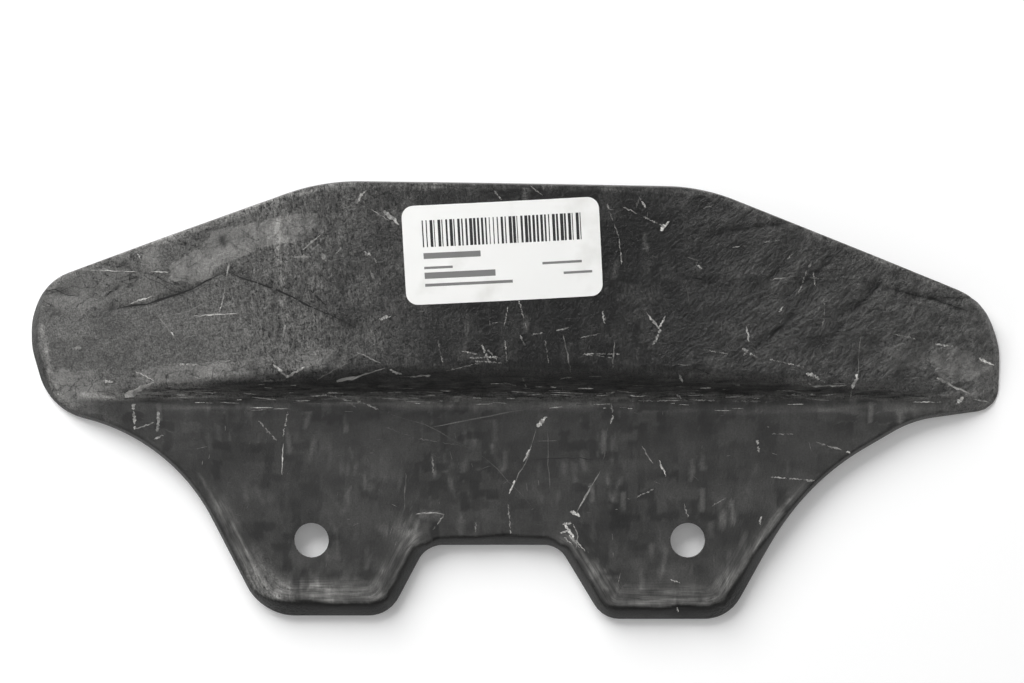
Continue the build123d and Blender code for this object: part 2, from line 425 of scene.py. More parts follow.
# The inner side falls along a slanted hollow; the outer side keeps the part's own quarter round
lipWide = along(perimeterS, "lipWide")
slope = np.clip(1 - rings / lipWide, 0, 1) ** form["hollowPower"]
hollowShare = np.interp(lipWide, form["hollowWidths"], form["hollowShares"])
strip, stripNormal = lipStrip(form["lipRadius"] * slope * hollowShare)
rolled, rolledNormal = lipStrip(roll(form["lipRadius"], rings))
underFace = face - faceNormal * form["wall"]
underStrip = rolled - rolledNormal * form["wall"]

# The camera hangs straight over the guard; a place read off the photograph is found through it
view = {
    "overX": 2.57, "overY": 41.2, "height": 700.0, "lens": 118.8, "sensor": 36.0, "wide": 1024, "tall": 683,
    "pixelsPerMm": 4.83, "clipStart": 0.01,
}


def seenAt(px, py):
    # where a line of sight meets the inner face: its height and its place are each worked out from the other
    px, py = np.asarray(px, float), np.asarray(py, float)
    z = np.zeros(px.shape)
    for _ in range(6):
        scale = view["lens"] / view["sensor"] * view["wide"] / (view["height"] - z)
        x = view["overX"] + (px - view["wide"] / 2) / scale
        y = view["overY"] + (view["tall"] / 2 - py) / scale
        z = (z + innerFace(x, y)) / 2
    return x, y


def seenRun(run):
    # a run of picture points as places on the guard
    x, y = seenAt(*np.array(run, float).T)
    return list(zip(x, y))


# Bag marks on the inner side: folds are runs of picture points with a depth and a width in mm; the depth
# also sets their painted shade
bagMarks = {
    "folds": [
        ([(110, 310), (150, 303), (190, 290), (213, 278), (228, 271), (271, 287), (322, 312), (356, 328)],
         0.14, 0.8),
        ([(315, 295), (327, 306)], 0.20, 0.9),
        ([(846, 244), (815, 273), (800, 284)], 0.28, 0.8),
        ([(882, 280), (858, 308)], 0.28, 0.8),
        ([(887, 288), (927, 298), (972, 298)], 0.22, 0.7),
        ([(930, 298), (967, 311)], 0.20, 0.8),
        ([(792, 316), (758, 347)], 0.28, 0.9),
        ([(680, 275), (712, 282)], 0.22, 0.9),
        ([(606, 285), (622, 292)], 0.26, 0.9),
        ([(709, 237), (732, 230), (787, 222)], 0.18, 0.8),
        ([(105, 296), (118, 288)], 0.14, 0.8),
        ([(46, 291), (63, 294), (79, 296)], 0.14, 0.8),
    ],
    # pale patches: middle, half width and half height as picture points, and how much lighter
    "patches": [
        (388, 218, 16, 12, 26), (330, 470, 60, 34, 6), (740, 480, 60, 40, 5), (640, 560, 26, 30, 10),
        (380, 484, 14, 16, 16), (370, 345, 30, 20, 10), (224, 241, 6, 7, -46), (315, 575, 60, 26, 18),
        (402, 528, 26, 13, 48), (428, 514, 18, 5, 30), (350, 364, 32, 10, -28), (250, 371, 42, 6, -18),
    ],
    # facets of smooth resin: how much lighter, and the picture points round them
    "facets": [
        (27, [(170, 264), (199, 249), (214, 231), (224, 229), (250, 223), (278, 216), (318, 212),
            (317, 222), (306, 239), (278, 244), (257, 249), (242, 256), (216, 267), (211, 277),
            (196, 285), (170, 280)]),
        (9, [(40, 302), (53, 287), (81, 273), (140, 272), (163, 274), (170, 282), (158, 297),
            (109, 311), (43, 306)]),
        (13, [(53, 384), (58, 369), (96, 371), (102, 384), (127, 392), (104, 404), (71, 406)]),
        (15, [(132, 374), (165, 364), (232, 362), (265, 356), (269, 374), (265, 381), (199, 383),
            (153, 384)]), (12, [(140, 250), (158, 247), (161, 273), (142, 273)]),
        (12, [(298, 352), (345, 346), (352, 360), (330, 374), (296, 372)]),
        (16, [(858, 337), (891, 333), (930, 340), (928, 363), (890, 372), (858, 366)]),
        (24, [(930, 341), (953, 346), (975, 354), (978, 380), (945, 384), (930, 365)]),
        (16, [(978, 356), (993, 366), (996, 385), (985, 398), (965, 396), (976, 380)]),
        (6, [(684, 352), (718, 350), (745, 368), (740, 381), (682, 380)]),
    ],
    # soft smears: width in mm, how much lighter, and a run of picture points
    "smears": [
        (1.1, 34, [(277, 222), (281, 285), (287, 328)]), (0.8, 26, [(463, 425), (466, 444)]),
        (0.7, 26, [(471, 424), (475, 443)]), (1.0, 28, [(492, 446), (502, 472)]),
        (0.9, 34, [(447, 472), (455, 496)]), (0.7, 34, [(432, 456), (435, 476)]),
        (0.9, 24, [(309, 460), (313, 442), (319, 432)]), (1.1, 20, [(327, 490), (343, 512)]),
        (0.8, 18, [(350, 449), (356, 465)]), (0.8, 22, [(532, 475), (536, 496)]),
        (0.9, 30, [(607, 476), (612, 506)]), (0.8, 26, [(620, 480), (613, 499)]),
        (0.9, 16, [(243, 484), (247, 500)]), (0.9, 16, [(256, 486), (262, 503)]),
        (1.6, 15, [(390, 400), (500, 408), (600, 405)]), (0.8, 22, [(366, 194), (368, 256)]),
        (0.9, 24, [(655, 215), (689, 197)]), (1.1, 40, [(41, 326), (45, 345), (49, 362), (53, 384)]),
        (0.8, 30, [(200, 475), (210, 493), (223, 513), (235, 531), (246, 549), (255, 570), (266, 586),
            (280, 597), (294, 598)]),
        (0.7, 40, [(294, 598), (312, 597), (332, 601), (350, 604), (369, 602), (389, 592), (398, 576),
            (407, 555), (414, 537), (420, 514)]),
        (1.5, 32, [(262, 566), (285, 587), (316, 586), (337, 592), (359, 592), (373, 587), (382, 571)]),
        (1.0, 30, [(790, 499), (772, 519), (758, 542), (746, 565), (737, 579), (720, 595), (703, 602),
            (675, 605), (632, 605)]),
        (0.9, 26, [(632, 605), (618, 601), (604, 587), (592, 568), (581, 551)]),
        (2.2, 12, [(781, 511), (761, 536), (738, 568), (720, 583)]),
        (2.4, 10, [(594, 566), (614, 584), (640, 590), (675, 593)]),
        (1.4, 12, [(190, 455), (215, 490), (240, 530)]), (0.8, 20, [(690, 352), (690, 378)]),
        (0.8, 22, [(652, 345), (650, 372)]),
    ],
    "towWide": 2.05,
}


def zones(x, y):
    # shares of hood, riser and plate at each point
    wave = 0.9 * ripple(x / 9, x / 31, 2)
    hood = smooth(-0.8, 2.6, plateHeight(y) - hoodHeight(x, y) + wave)
    step = smooth(28.4, 30.2, y + 0.3 * wave) * (1 - hood)
    return hood, step, 1 - hood - step


def hoodParts(x, y):
    # shares of the hood's crackled left, upright grained left middle, woven middle and rippled right
    left = 1 - smooth(-64, -42, x + 7 * ripple(x / 18, y / 14, 3))
    right = smooth(26, 48, x + 8 * ripple(x / 20, y / 16, 4))
    woven = smooth(-18, -2, x + 5 * ripple(x / 12, y / 12, 5) + 0.25 * (50 - y)) * (1 - right)
    return left, (1 - left) * (1 - right) * (1 - woven), woven, right


def slant(x, y, turn):
    # a place measured across and along a direction
    return x * math.sin(turn) - y * math.cos(turn), x * math.cos(turn) + y * math.sin(turn)


def cracks(x, y):
    # thin wandering lines, close to 1 along them, gone in places
    lines = ridged(x / 10 + 0.25 * ripple(x / 3, y / 3, 72), y / 6.5 + 0.25 * ripple(x / 3, y / 3, 73), 74)
    finer = ridged(x / 5 + 0.2 * ripple(x / 2, y / 2, 75), y / 3.6, 76) - 0.06
    return np.maximum(lines, finer) - 0.12 * (1 - smooth(-0.3, 0.4, ripple(x / 13, y / 11, 12)))


def wander(x, y):
    # how far the cloth and the folds stray from their lines, in mm
    return 1.4 * ripple(x / 7, y / 7, 6), 1.4 * ripple(x / 7, y / 7, 7)


def crackleCells(x, y, warpX, warpY):
    # the flat cells between the cracks at the left
    return facets((x + 2 * warpX) / 8.5, (y + 2 * warpY) / 6.0, 9)


def slantedRipples(x, y, warpX, warpY):
    # three sizes of ripple with sharp crests, the smallest on a flatter slant
    a, b = slant(x + warpX, y + warpY, 0.85)
    c, d = slant(x + 0.8 * warpX, y + 0.8 * warpY, 0.60)
    return ridged(a / 9.0, b / 16, 17), ridged(a / 4.2, b / 7, 18), ridged(c / 2.6, d / 5, 19)


def foldPaths(x, y):
    # the distance from each marked fold, which wobbles a little, with the fold's depth and width
    wobble = 0.35 * ripple(x / 3, y / 3, 22)
    folds = bagMarks["folds"]
    return [(runDistance(seenRun(run), x, y) + wobble, depth, wide) for run, depth, wide in folds]


# Heights of the bag side's relief in mm
relief = {
    "swell": 0.14, "facet": 0.10, "crack": 0.12, "fineGrain": 0.05, "broadGrain": 0.07, "tow": 0.05,
    "towRound": 0.12, "ripples": (0.30, 0.20, 0.13), "streak": 0.05, "calm": 0.05, "plateTows": 0.25,
    "pressedFlat": 0.75,
}


def bagRelief(x, y):
    # height of the bag side: broad swell, crackle at the left, upright grain, tows, slanted folds at the
    # right, level streaks on the riser and a faint swell on the plate
    hood, step, plate = zones(x, y)
    left, grained, woven, right = hoodParts(x, y)
    warpX, warpY = wander(x, y)
    swell = relief["swell"] * ripple(x / 12, y / 9, 8)
    tilt, border = crackleCells(x, y, warpX, warpY)
    crackle = relief["facet"] * (tilt - 0.5) * smooth(0.0, 0.2, border)
    crackle = crackle - relief["crack"] * smooth(0.86, 1.0, cracks(x, y))
    grain = relief["fineGrain"] * ripple((x + warpX) / 2.4, y / 7, 13)
    grain = grain + relief["broadGrain"] * ripple(x / 4.5, y / 10, 14)
    shades, _, across = twill(x + 0.3 * warpX, y + 0.3 * warpY, bagMarks["towWide"], 15)
    tows = relief["tow"] * (shades - 0.5) - relief["towRound"] * across ** 2
    folds = sum(tall * crest for tall, crest in zip(relief["ripples"], slantedRipples(x, y, warpX, warpY)))
    streak = relief["streak"] * ripple(x / 12, y / 2.2, 20)
    calm = relief["calm"] * ripple(x / 14, y / 11, 21)
    height = hood * (swell + left * crackle + grained * grain + woven * tows + right * folds)
    height += step * streak + plate * (calm + relief["plateTows"] * tows)
    for away, depth, wide in foldPaths(x, y):
        height -= depth * np.exp(-(away / wide) ** 2)
    return height


# Paper label: its middle on the hood, its turn and its sizes in mm
labelPlace = {
    "x": 0.6, "up": 24.0, "turn": math.radians(3.0), "width": 40.0, "height": 20.3, "corner": 2.4,
    "thick": 0.12, "gap": 0.02, "cockle": 0.03, "columns": 91, "rows": 49, "cornerColumns": 9,
}


def underLabel(x, y):
    # 1 under the label, 0 a few mm outside it
    up = (y - foldY) / math.cos(form["tilt"]) - archDrop(x) * math.tan(form["tilt"])
    dx, dy = x - labelPlace["x"], up - labelPlace["up"]
    c, s = math.cos(labelPlace["turn"]), math.sin(labelPlace["turn"])
    a = np.abs(dx * c + dy * s) - labelPlace["width"] / 2
    b = np.abs(dy * c - dx * s) - labelPlace["height"] / 2
    return 1 - smooth(-0.5, 2.5, np.maximum(a, b))


def reliefAt(x, y):
    # the relief, pressed nearly flat under the label
    return bagRelief(x, y) * (1 - relief["pressedFlat"] * underLabel(x, y))


faceRelief = reliefAt(plan[..., 0], plan[..., 1])
stripDepth = np.concatenate([np.broadcast_to(rings, ringX.shape), np.zeros((mesh["wallRows"], len(edgeX)))])
stripRelief = reliefAt(strip[..., 0], strip[..., 1]) * (lip * smooth(0.2, 2.6, stripDepth) + (1 - lip))
topFace = face + faceNormal * faceRelief[..., None]
topStrip = strip + stripNormal * stripRelief[..., None]
print("bag relief from", round(float(faceRelief.min()), 2), "to", round(float(faceRelief.max()), 2), "mm")

# One closed mesh: the inner side at full detail, the outer side at every second line
half = 2
perimeter = len(edgeX)
stripRows = len(strip)
subFace, subStrip = underFace[::half, ::half], underStrip[:, ::half]
subRows, subCols = subFace.shape[:2]
points = np.concatenate([part.reshape(-1, 3) for part in (topFace, topStrip, subFace, subStrip)])
points[:, 2] = np.maximum(points[:, 2], -form["restDepth"])
offsets = np.cumsum([0, rows * cols, stripRows * perimeter, subRows * subCols])
faceIndex = offsets[0] + np.arange(rows * cols).reshape(rows, cols)
stripIndex = offsets[1] + np.arange(stripRows * perimeter).reshape(stripRows, perimeter)
subIndex = offsets[2] + np.arange(subRows * subCols).reshape(subRows, subCols)
subStripIndex = offsets[3] + np.arange(stripRows * (perimeter // half)).reshape(stripRows, perimeter // half)


def bands(loops):
    # quads between each loop and the next, closed round the loop
    a, b = loops[:-1], loops[1:]
    return np.stack([a, b, np.roll(b, -1, 1), np.roll(a, -1, 1)], -1).reshape(-1, 4)


def closing(fine, coarse):
    # five-sided faces between a fine loop and the coarse loop that follows it
    here, between, after = fine[::half], np.roll(fine, -1)[::half], np.roll(fine, -half)[::half]
    return np.stack([here, coarse, np.roll(coarse, -1), after, between], -1)


def gridQuads(grid):
    # quads between neighbouring rows and columns, turned to face up
    return np.stack([grid[:-1, :-1], grid[:-1, 1:], grid[1:, 1:], grid[1:, :-1]], -1)


topQuads = gridQuads(faceIndex)[solid]
stripQuads = bands(np.concatenate([faceIndex[runJ, runI][None], stripIndex]))
onLip = ((stripDepth < lipWide - 0.1) & (lip > 0.5)).ravel()
topQuads = np.concatenate([topQuads, stripQuads[~onLip]])
lipQuads = stripQuads[onLip]
subSolid = solid[::half, ::half] & solid[1::half, 1::half]
underQuads = gridQuads(subIndex)[subSolid][:, [0, 3, 2, 1]]
subRun = subIndex[runJ[::half] // half, runI[::half] // half]
underQuads = np.concatenate([underQuads, bands(np.concatenate([subStripIndex[::-1], subRun[None]]))])
rims = [closing(stripIndex[-1], subStripIndex[-1])]
for loopJ, loopI in holeLoops:
    fineLoop = faceIndex[loopJ, loopI][::-1]
    coarseLoop = subIndex[loopJ[::half] // half, loopI[::half] // half][::-1]
    rims.append(closing(np.roll(fineLoop, 1), np.roll(coarseLoop, 1)))
rimFaces = np.concatenate(rims)


def meshFrom(name, points, groups):
    # a mesh from mm points and groups of equal-sided faces, each group with its material number
    used = np.unique(np.concatenate([g.ravel() for g, _ in groups]))
    renumber = np.zeros(len(points), int)
    renumber[used] = np.arange(len(used))
    corners = np.concatenate([renumber[g].ravel() for g, _ in groups])
    sizes = np.concatenate([np.full(len(g), g.shape[1]) for g, _ in groups])
    numbers = np.concatenate([np.full(len(g), m) for g, m in groups])
    data = bpy.data.meshes.new(name)
    data.vertices.add(len(used))
    data.vertices.foreach_set("co", (points[used] * mm).astype(np.float32).ravel())
    data.loops.add(len(corners))
    data.loops.foreach_set("vertex_index", corners.astype(np.int32))
    data.polygons.add(len(sizes))
    data.polygons.foreach_set("loop_start", (np.cumsum(sizes) - sizes).astype(np.int32))
    data.polygons.foreach_set("material_index", numbers.astype(np.int32))
    data.polygons.foreach_set("use_smooth", np.ones(len(sizes), bool))
    data.update(calc_edges=True)
    data.validate()
    piece = bpy.data.objects.new(name, data)
    bpy.context.scene.collection.objects.link(piece)
    return piece, used


def attribute(piece, name, values):
    # one number for each point of a piece
    piece.data.attributes.new(name, "FLOAT", "POINT").data.foreach_set("value", values.astype(np.float32))


def nearEdge(x, y, every=4, chunk=4000):
    # the nearest outline sample to each point: its distance, its place, its lip's share and width
    px, py = line["x"][::every], line["y"][::every]
    gap, sample = [], []
    for i in range(0, x.size, chunk):
        away = (x[i:i + chunk, None] - px) ** 2 + (y[i:i + chunk, None] - py) ** 2
        sample.append(away.argmin(1))
        gap.append(np.sqrt(away.min(1)))
    sample = np.concatenate(sample) * every
    return np.concatenate(gap), line["s"][sample], line["lip"][sample], line["lipWide"][sample]


# Grey of the bag side, 0 to 255, before the finest grain; its regional greys hold painted light and shade
shade = {
    # hood grey along X: painted light at the ends, which turn towards the lights, and painted shade in the
    # middle, which faces away
    "hoodX": [-98, -75, -55, -40, -28, -14, 0, 22, 40, 60, 85, 104],
    "hood": [86, 87, 87, 82, 69, 45, 28, 29, 37, 53, 66, 78],
    # riser grey from its foot to the fold: painted shade, darkest under the fold
    "riserHeight": [0.0, 0.06, 0.14, 0.25, 0.36, 0.52, 0.7, 0.9],
    "riser": [94, 66, 54, 55, 56, 46, 44, 54],
    "plate": 46, "crease": 27, "palest": "#b4b3b0", "darkest": "#060606", "least": 6, "most": 200,
    # lips: dark, partly their own colour and partly painted shade where they turn from the light; paler at
    # the left and right ends as painted light, darker under the lugs as painted shade
    "scuff": 46, "lip": 44, "lipLeftPaintedLight": 12, "lipRightPaintedLight": 30, "lipUnderPaintedShade": -22, "lipStreak": 10,
    # fold: how much darker the marked folds are, painted shade in their troughs
    "rim": 22, "fold": 150,
    # crackled left, and the hood as a whole
    "facet": 14, "crack": 22, "cloud": 8, "fleck": 7, "hoodCloud": 7, "hoodCrack": 20,
    "grainCloud": 20, "grainFleck": 16,
    # tows, with a few dark floats and pale strokes; blocks of cloth and pale flames
    "float": 15, "darkFloat": 20, "paleStroke": 26,
    "clothTows": 2.4, "clothBlocks": 34, "clothFlame": 24, "clothBase": -4,
    "plateTows": 1.6, "plateBlocks": 14, "plateFlame": 26, "plateCloud": 10, "plateFleck": 9,
    "lugCloud": 16, "lugBase": 2,
    # crests of the slanted ripples, each about its own middle: paler crests partly worn resin and partly
    # painted light, darker troughs painted shade; flecks among them; riser streaks
    "crests": ((12, -6), (9, -4), (9, -4)), "rippleFleck": 9, "wideStreak": 9, "shortStreak": 10,
    "bareEdge": 40, "bareEdgeStreak": 26,
}


def facetPlaces(x, y):
    # how far inside the nearest facet of smooth resin each point lies, in mm, and how much lighter it is
    deepest, lift = np.full(x.shape, -4.0), np.zeros(x.shape)
    for light, run in bagMarks["facets"]:
        run = seenRun(run)
        away = runDistance(run + run[:1], x, y)
        depth = np.where(inside(run, x, y), away, -away)
        lift = np.where(depth > deepest, light, lift)
        deepest = np.maximum(deepest, depth)
    return deepest, lift


def riseShare(x, y):
    # how far up the riser each point lies, from 0 at its foot to 1 at the fold
    return innerFace(x, y) / np.maximum(form["riserHeight"] - 1.1 * archDrop(x), 2.5)


def bagGrey(x, y):
    # regional grey of hood, riser and plate, much of it painted light and shade, plus facets, tows, smoke,
    # folds darkened as painted shade, patches, scuffs and edges; also the share of rubbed band, and the
    # place along and in from the outline
    hood, step, plate = zones(x, y)
    left, grained, woven, right = hoodParts(x, y)
    d, s, lipped, lipWide = nearEdge(x, y)
    warpX, warpY = wander(x, y)
    # crackled left: facets of slightly different grey, thin dark cracks, soft clouds
    tone, border = crackleCells(x, y, warpX, warpY)
    crackle = shade["facet"] * (tone - 0.5) * smooth(0.0, 0.12, border)
    crackle = crackle - shade["crack"] * smooth(0.88, 1.0, cracks(x, y))
    crackle += shade["cloud"] * smoke(x / 9, y / 7, 30) + shade["fleck"] * smoke(x / 2.5, y / 2.5, 27)
    # tows: most floats differ a little, a few are dark and a few have a pale stroke
    looseX, looseY = 0.4 * ripple(x / 1.7, y / 1.7, 81), 0.4 * ripple(x / 1.7, y / 1.7, 82)
    tow = bagMarks["towWide"]
    shades, upright, across = twill(x + 0.5 * warpX + looseX, y + 0.5 * warpY + looseY, tow, 15)
    dark = smooth(0.66, 0.78, shades) * (1 - smooth(0.38, 0.52, np.abs(across)))
    stroke = (1 - smooth(0.06, 0.18, shades)) * upright * (1 - smooth(0.12, 0.4, np.abs(across)))
    cover = 0.25 + 0.75 * smooth(-0.4, 0.35, ripple(x / 17, y / 13, 33))
    tows = shade["float"] * (shades - 0.45) - shade["darkFloat"] * dark + shade["paleStroke"] * stroke
    tows = tows * cover
    # blocks of cloth two tows wide, and soft pale strokes that stand upright
    blocks = twill(x + 0.7 * warpX + looseX, y + 0.7 * warpY + looseY, 2 * tow, 84)[0] - 0.5
    flame = smooth(0.25, 0.75, ripple((x + 0.5 * warpX) / 1.5, y / 6.0, 93))
    flame = flame * smooth(-0.2, 0.4, ripple(x / 15, y / 10, 94))
    # right: crests of the slanted ripples are paler, partly worn resin and partly painted light, and their
    # troughs darker as painted shade
    ripples = shade["rippleFleck"] * smoke(x / 3, y / 3, 24)
    for (lift, base), crest in zip(shade["crests"], slantedRipples(x, y, warpX, warpY)):
        ripples = ripples + lift * crest + base
    # the hood's grey along X, with its painted light and shade
    base = np.interp(x, shade["hoodX"], shade["hood"])
    grainy = shade["grainCloud"] * smoke(x / 7, y / 11, 36)
    grainy = grainy + shade["grainFleck"] * ripple(x / 1.3, y / 3.4, 79)
    cloth = shade["clothTows"] * tows + shade["clothBlocks"] * blocks + shade["clothFlame"] * flame
    cloth = cloth + shade["clothBase"]
    grey = hood * (base + left * crackle + grained * grainy + woven * cloth + right * ripples)
    fewer = smooth(0.93, 1.0, cracks(x + 40, y + 20)) * (1 - left)
    grey += hood * (shade["hoodCloud"] * smoke(x / 22, y / 16, 39) - shade["hoodCrack"] * fewer)
    # riser: painted shade, darkest under the fold and paler to its foot and towards its ends, with level
    # streaks
    rise = riseShare(x, y)
    streak = shade["wideStreak"] * ripple(x / 11, y / 0.75, 42)
    streak = streak + shade["shortStreak"] * ripple(x / 5, y / 1.6, 43)
    ends = 8 * (1 - smooth(-75, -30, x)) + 44 * (1 - smooth(-66, -50, x)) + 12 * smooth(45, 85, x)
    ends = ends + (14 * smooth(25, 40, x) + 14 * smooth(50, 62, x)) * smooth(0.4, 0.65, rise)
    climb = rise + 0.06 * ripple(x / 6, y / 3, 44)
    grey += step * (np.interp(climb, shade["riserHeight"], shade["riser"]) + streak + ends)
    # plate: tows and smoke, a little darker to the left and paler towards the right wing, the paler right
    # painted light; with a pale line along the crease
    sideways = -4 * (1 - smooth(-50, -30, x)) + 14 * smooth(55, 88, x) - 2
    mottle = shade["plateCloud"] * smoke(x / 15, y / 11, 45)
    mottle = mottle + shade["plateFleck"] * smoke(x / 3.5, y / 3.5, 48)
    weave = shade["plateTows"] * tows + shade["plateBlocks"] * blocks + shade["plateFlame"] * flame
    grey += plate * (shade["plate"] + sideways + weave + mottle)
    sag = 0.7 * (1 - smooth(-45, -30, x)) + 1.2 * smooth(15, 40, x)
    crease = np.exp(-((y - 28.3 + sag) / 1.0) ** 2) * smooth(-78, -66, x) * (1 - hood)
    brighter = 0.7 * np.exp(-((x + 12) / 14) ** 2)
    grey += shade["crease"] * crease * (0.8 + brighter + 0.8 * ripple(x / 9, y / 0.9, 46))
    # pale patches with ragged sides, and smears
    for px, py, wide, tall, lift in bagMarks["patches"]:
        cx, cy = seenAt(px, py)
        wide, tall = wide / view["pixelsPerMm"], tall / view["pixelsPerMm"]
        reach = np.hypot((x - cx) / wide, (y - cy) / tall) + 0.45 * smoke(x / 4, y / 4, 51)
        grey += lift * (1 - smooth(0.35, 1.15, reach)) * (0.55 + 0.9 * smoke(x / 2.0, y / 3.0, 54))
    for wide, lift, run in bagMarks["smears"]:
        away = runDistance(seenRun(run), x, y) + 0.3 * ripple(x / 1.5, y / 2.5, 53)
        broken = np.clip(0.8 + 0.8 * ripple(x / 1.2, y / 2.5, 52), 0, 1.5)
        grey += lift * np.exp(-(away / (0.5 * wide)) ** 2) * broken
    # rubbed bands inside the lips of the lugs: narrow at the sides, broad below, drawn out along the outline
    south = 1 - smooth(4, 15, y + 3 * ripple(s / 8, s / 30, 57))
    notchTop = smooth(-18.5, -13.5, x) * (1 - smooth(10, 14.5, x)) * smooth(-9, -4, y)
    drawn = 0.6 + 0.5 * ripple(s / 9, d / 0.9, 58) + 0.4 * smoke(x / 4, y / 3, 60)
    width = lipWide + 2.2 + 2.6 * (1 - smooth(-14, -3, y)) + 1.2 * ripple(s / 12, s / 40, 63)
    rubbed = smooth(0.0, 0.7, d - lipWide) * (1 - smooth(width - 1.2, width + 3.2, d))
    rubbed = rubbed * south * (1 - notchTop)
    grey += shade["scuff"] * rubbed * np.clip(drawn, 0, 1.5)
    inLug = plate * (1 - smooth(-6, 4, y))
    grey += inLug * (shade["lugCloud"] * smoke(x / 6, y / 4.5, 64) + shade["lugBase"])
    # lips: dark to a crisp inner line, partly painted shade, with painted light at the ends and painted
    # shade under the lugs and over the notch; rubbed along their length; trimmed edges: pale and ragged
    lipRun = lipped * (1 - smooth(-0.25, 0.1, d - lipWide + 0.25 * ripple(s / 7, s / 31, 66)))
    under = smooth(1.8, 2.6, lipWide) * (1 - smooth(-12, 2, y))
    lipGrey = shade["lip"] + shade["lipLeftPaintedLight"] * (1 - smooth(-85, -55, x))
    lipGrey = lipGrey + shade["lipRightPaintedLight"] * smooth(60, 90, x)
    lipGrey = lipGrey + shade["lipUnderPaintedShade"] * np.maximum(under, 0.6 * notchTop)
    lipGrey = lipGrey + shade["lipStreak"] * ripple(s / 9, d / 0.45, 67)
    grey += lipRun * (lipGrey - grey)
    bare = (1 - lipped) * (1 - smooth(0.8, 1.5, d + 0.5 * ripple(s / 3, s / 50, 68)))
    worn = 0.45 + 0.55 * smooth(-0.3, 0.4, ripple(s / 14, s / 60, 70))
    grey += bare * (shade["bareEdge"] + shade["bareEdgeStreak"] * ripple(s / 4, d / 0.5, 69)) * worn
    rim = lipped * smooth(95, 100, x) * (1 - smooth(0.9, 1.6, d))
    grey += shade["rim"] * rim
    # the marked folds darkened: painted shade in their troughs
    for away, depth, wide in foldPaths(x, y):
        grey -= shade["fold"] * depth * np.exp(-(away / (0.42 * wide)) ** 2)
    return np.clip(grey, shade["least"], shade["most"]), rubbed, s, d


faceGroups = [(topQuads, 0), (rimFaces, 2), (underQuads, 1), (lipQuads, 3)]
guard, kept = meshFrom("guard_moulding", points, faceGroups)
sharpAngle = math.radians(50)
guard.data.set_sharp_from_angle(angle=sharpAngle)
x, y = points[kept, 0], points[kept, 1]
hood, step, plate = zones(x, y)
left, grained, woven, right = hoodParts(x, y)
palest = linear(shade["palest"])[0]
grey, rubbed, edgeRun, edgeGap = bagGrey(x, y)
facetDepth, facetLift = facetPlaces(x, y)
rough = 1 - 0.35 * smooth(-0.3, 0.5, facetDepth)
upper = step * smooth(0.5, 0.8, riseShare(x, y))
upright = rough * hood * (0.3 * left + 0.85 * grained + 0.7 * woven + 0.2 * right)
slanted = rough * hood * (right + 0.3 * left + 0.5 * grained + 0.35 * woven)
calmBand = smooth(34, 38, y) * (1 - smooth(46, 50, y))
# what the materials read: the grey, a share for each grain, places by the edge, facets and cracks
told = {
    "pale": linearGrey(grey) / palest,
    "uprightGrain": upright + 0.15 * plate + 0.3 * step + 0.4 * upper,
    "slantedGrain": slanted + 0.4 * upper,
    "levelGrain": step - 0.8 * upper,
    "rubbedGrain": rubbed,
    "evenGrain": 1 - 0.5 * plate - 0.4 * rubbed,
    "edgeRun": edgeRun,
    "edgeGap": edgeGap,
    "facetDepth": facetDepth,
    "facetLift": (1 + facetLift / 75) ** 2.2 - 1,
    "crackShare": hood * left * (0.75 - 0.65 * calmBand),
}
for name, values in told.items():
    attribute(guard, name, values)
triangles = sum(len(p.vertices) - 2 for p in guard.data.polygons)
print("moulding:", len(guard.data.vertices), "points,", triangles, "triangles")
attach(guard, "root")
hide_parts("chain_guard")
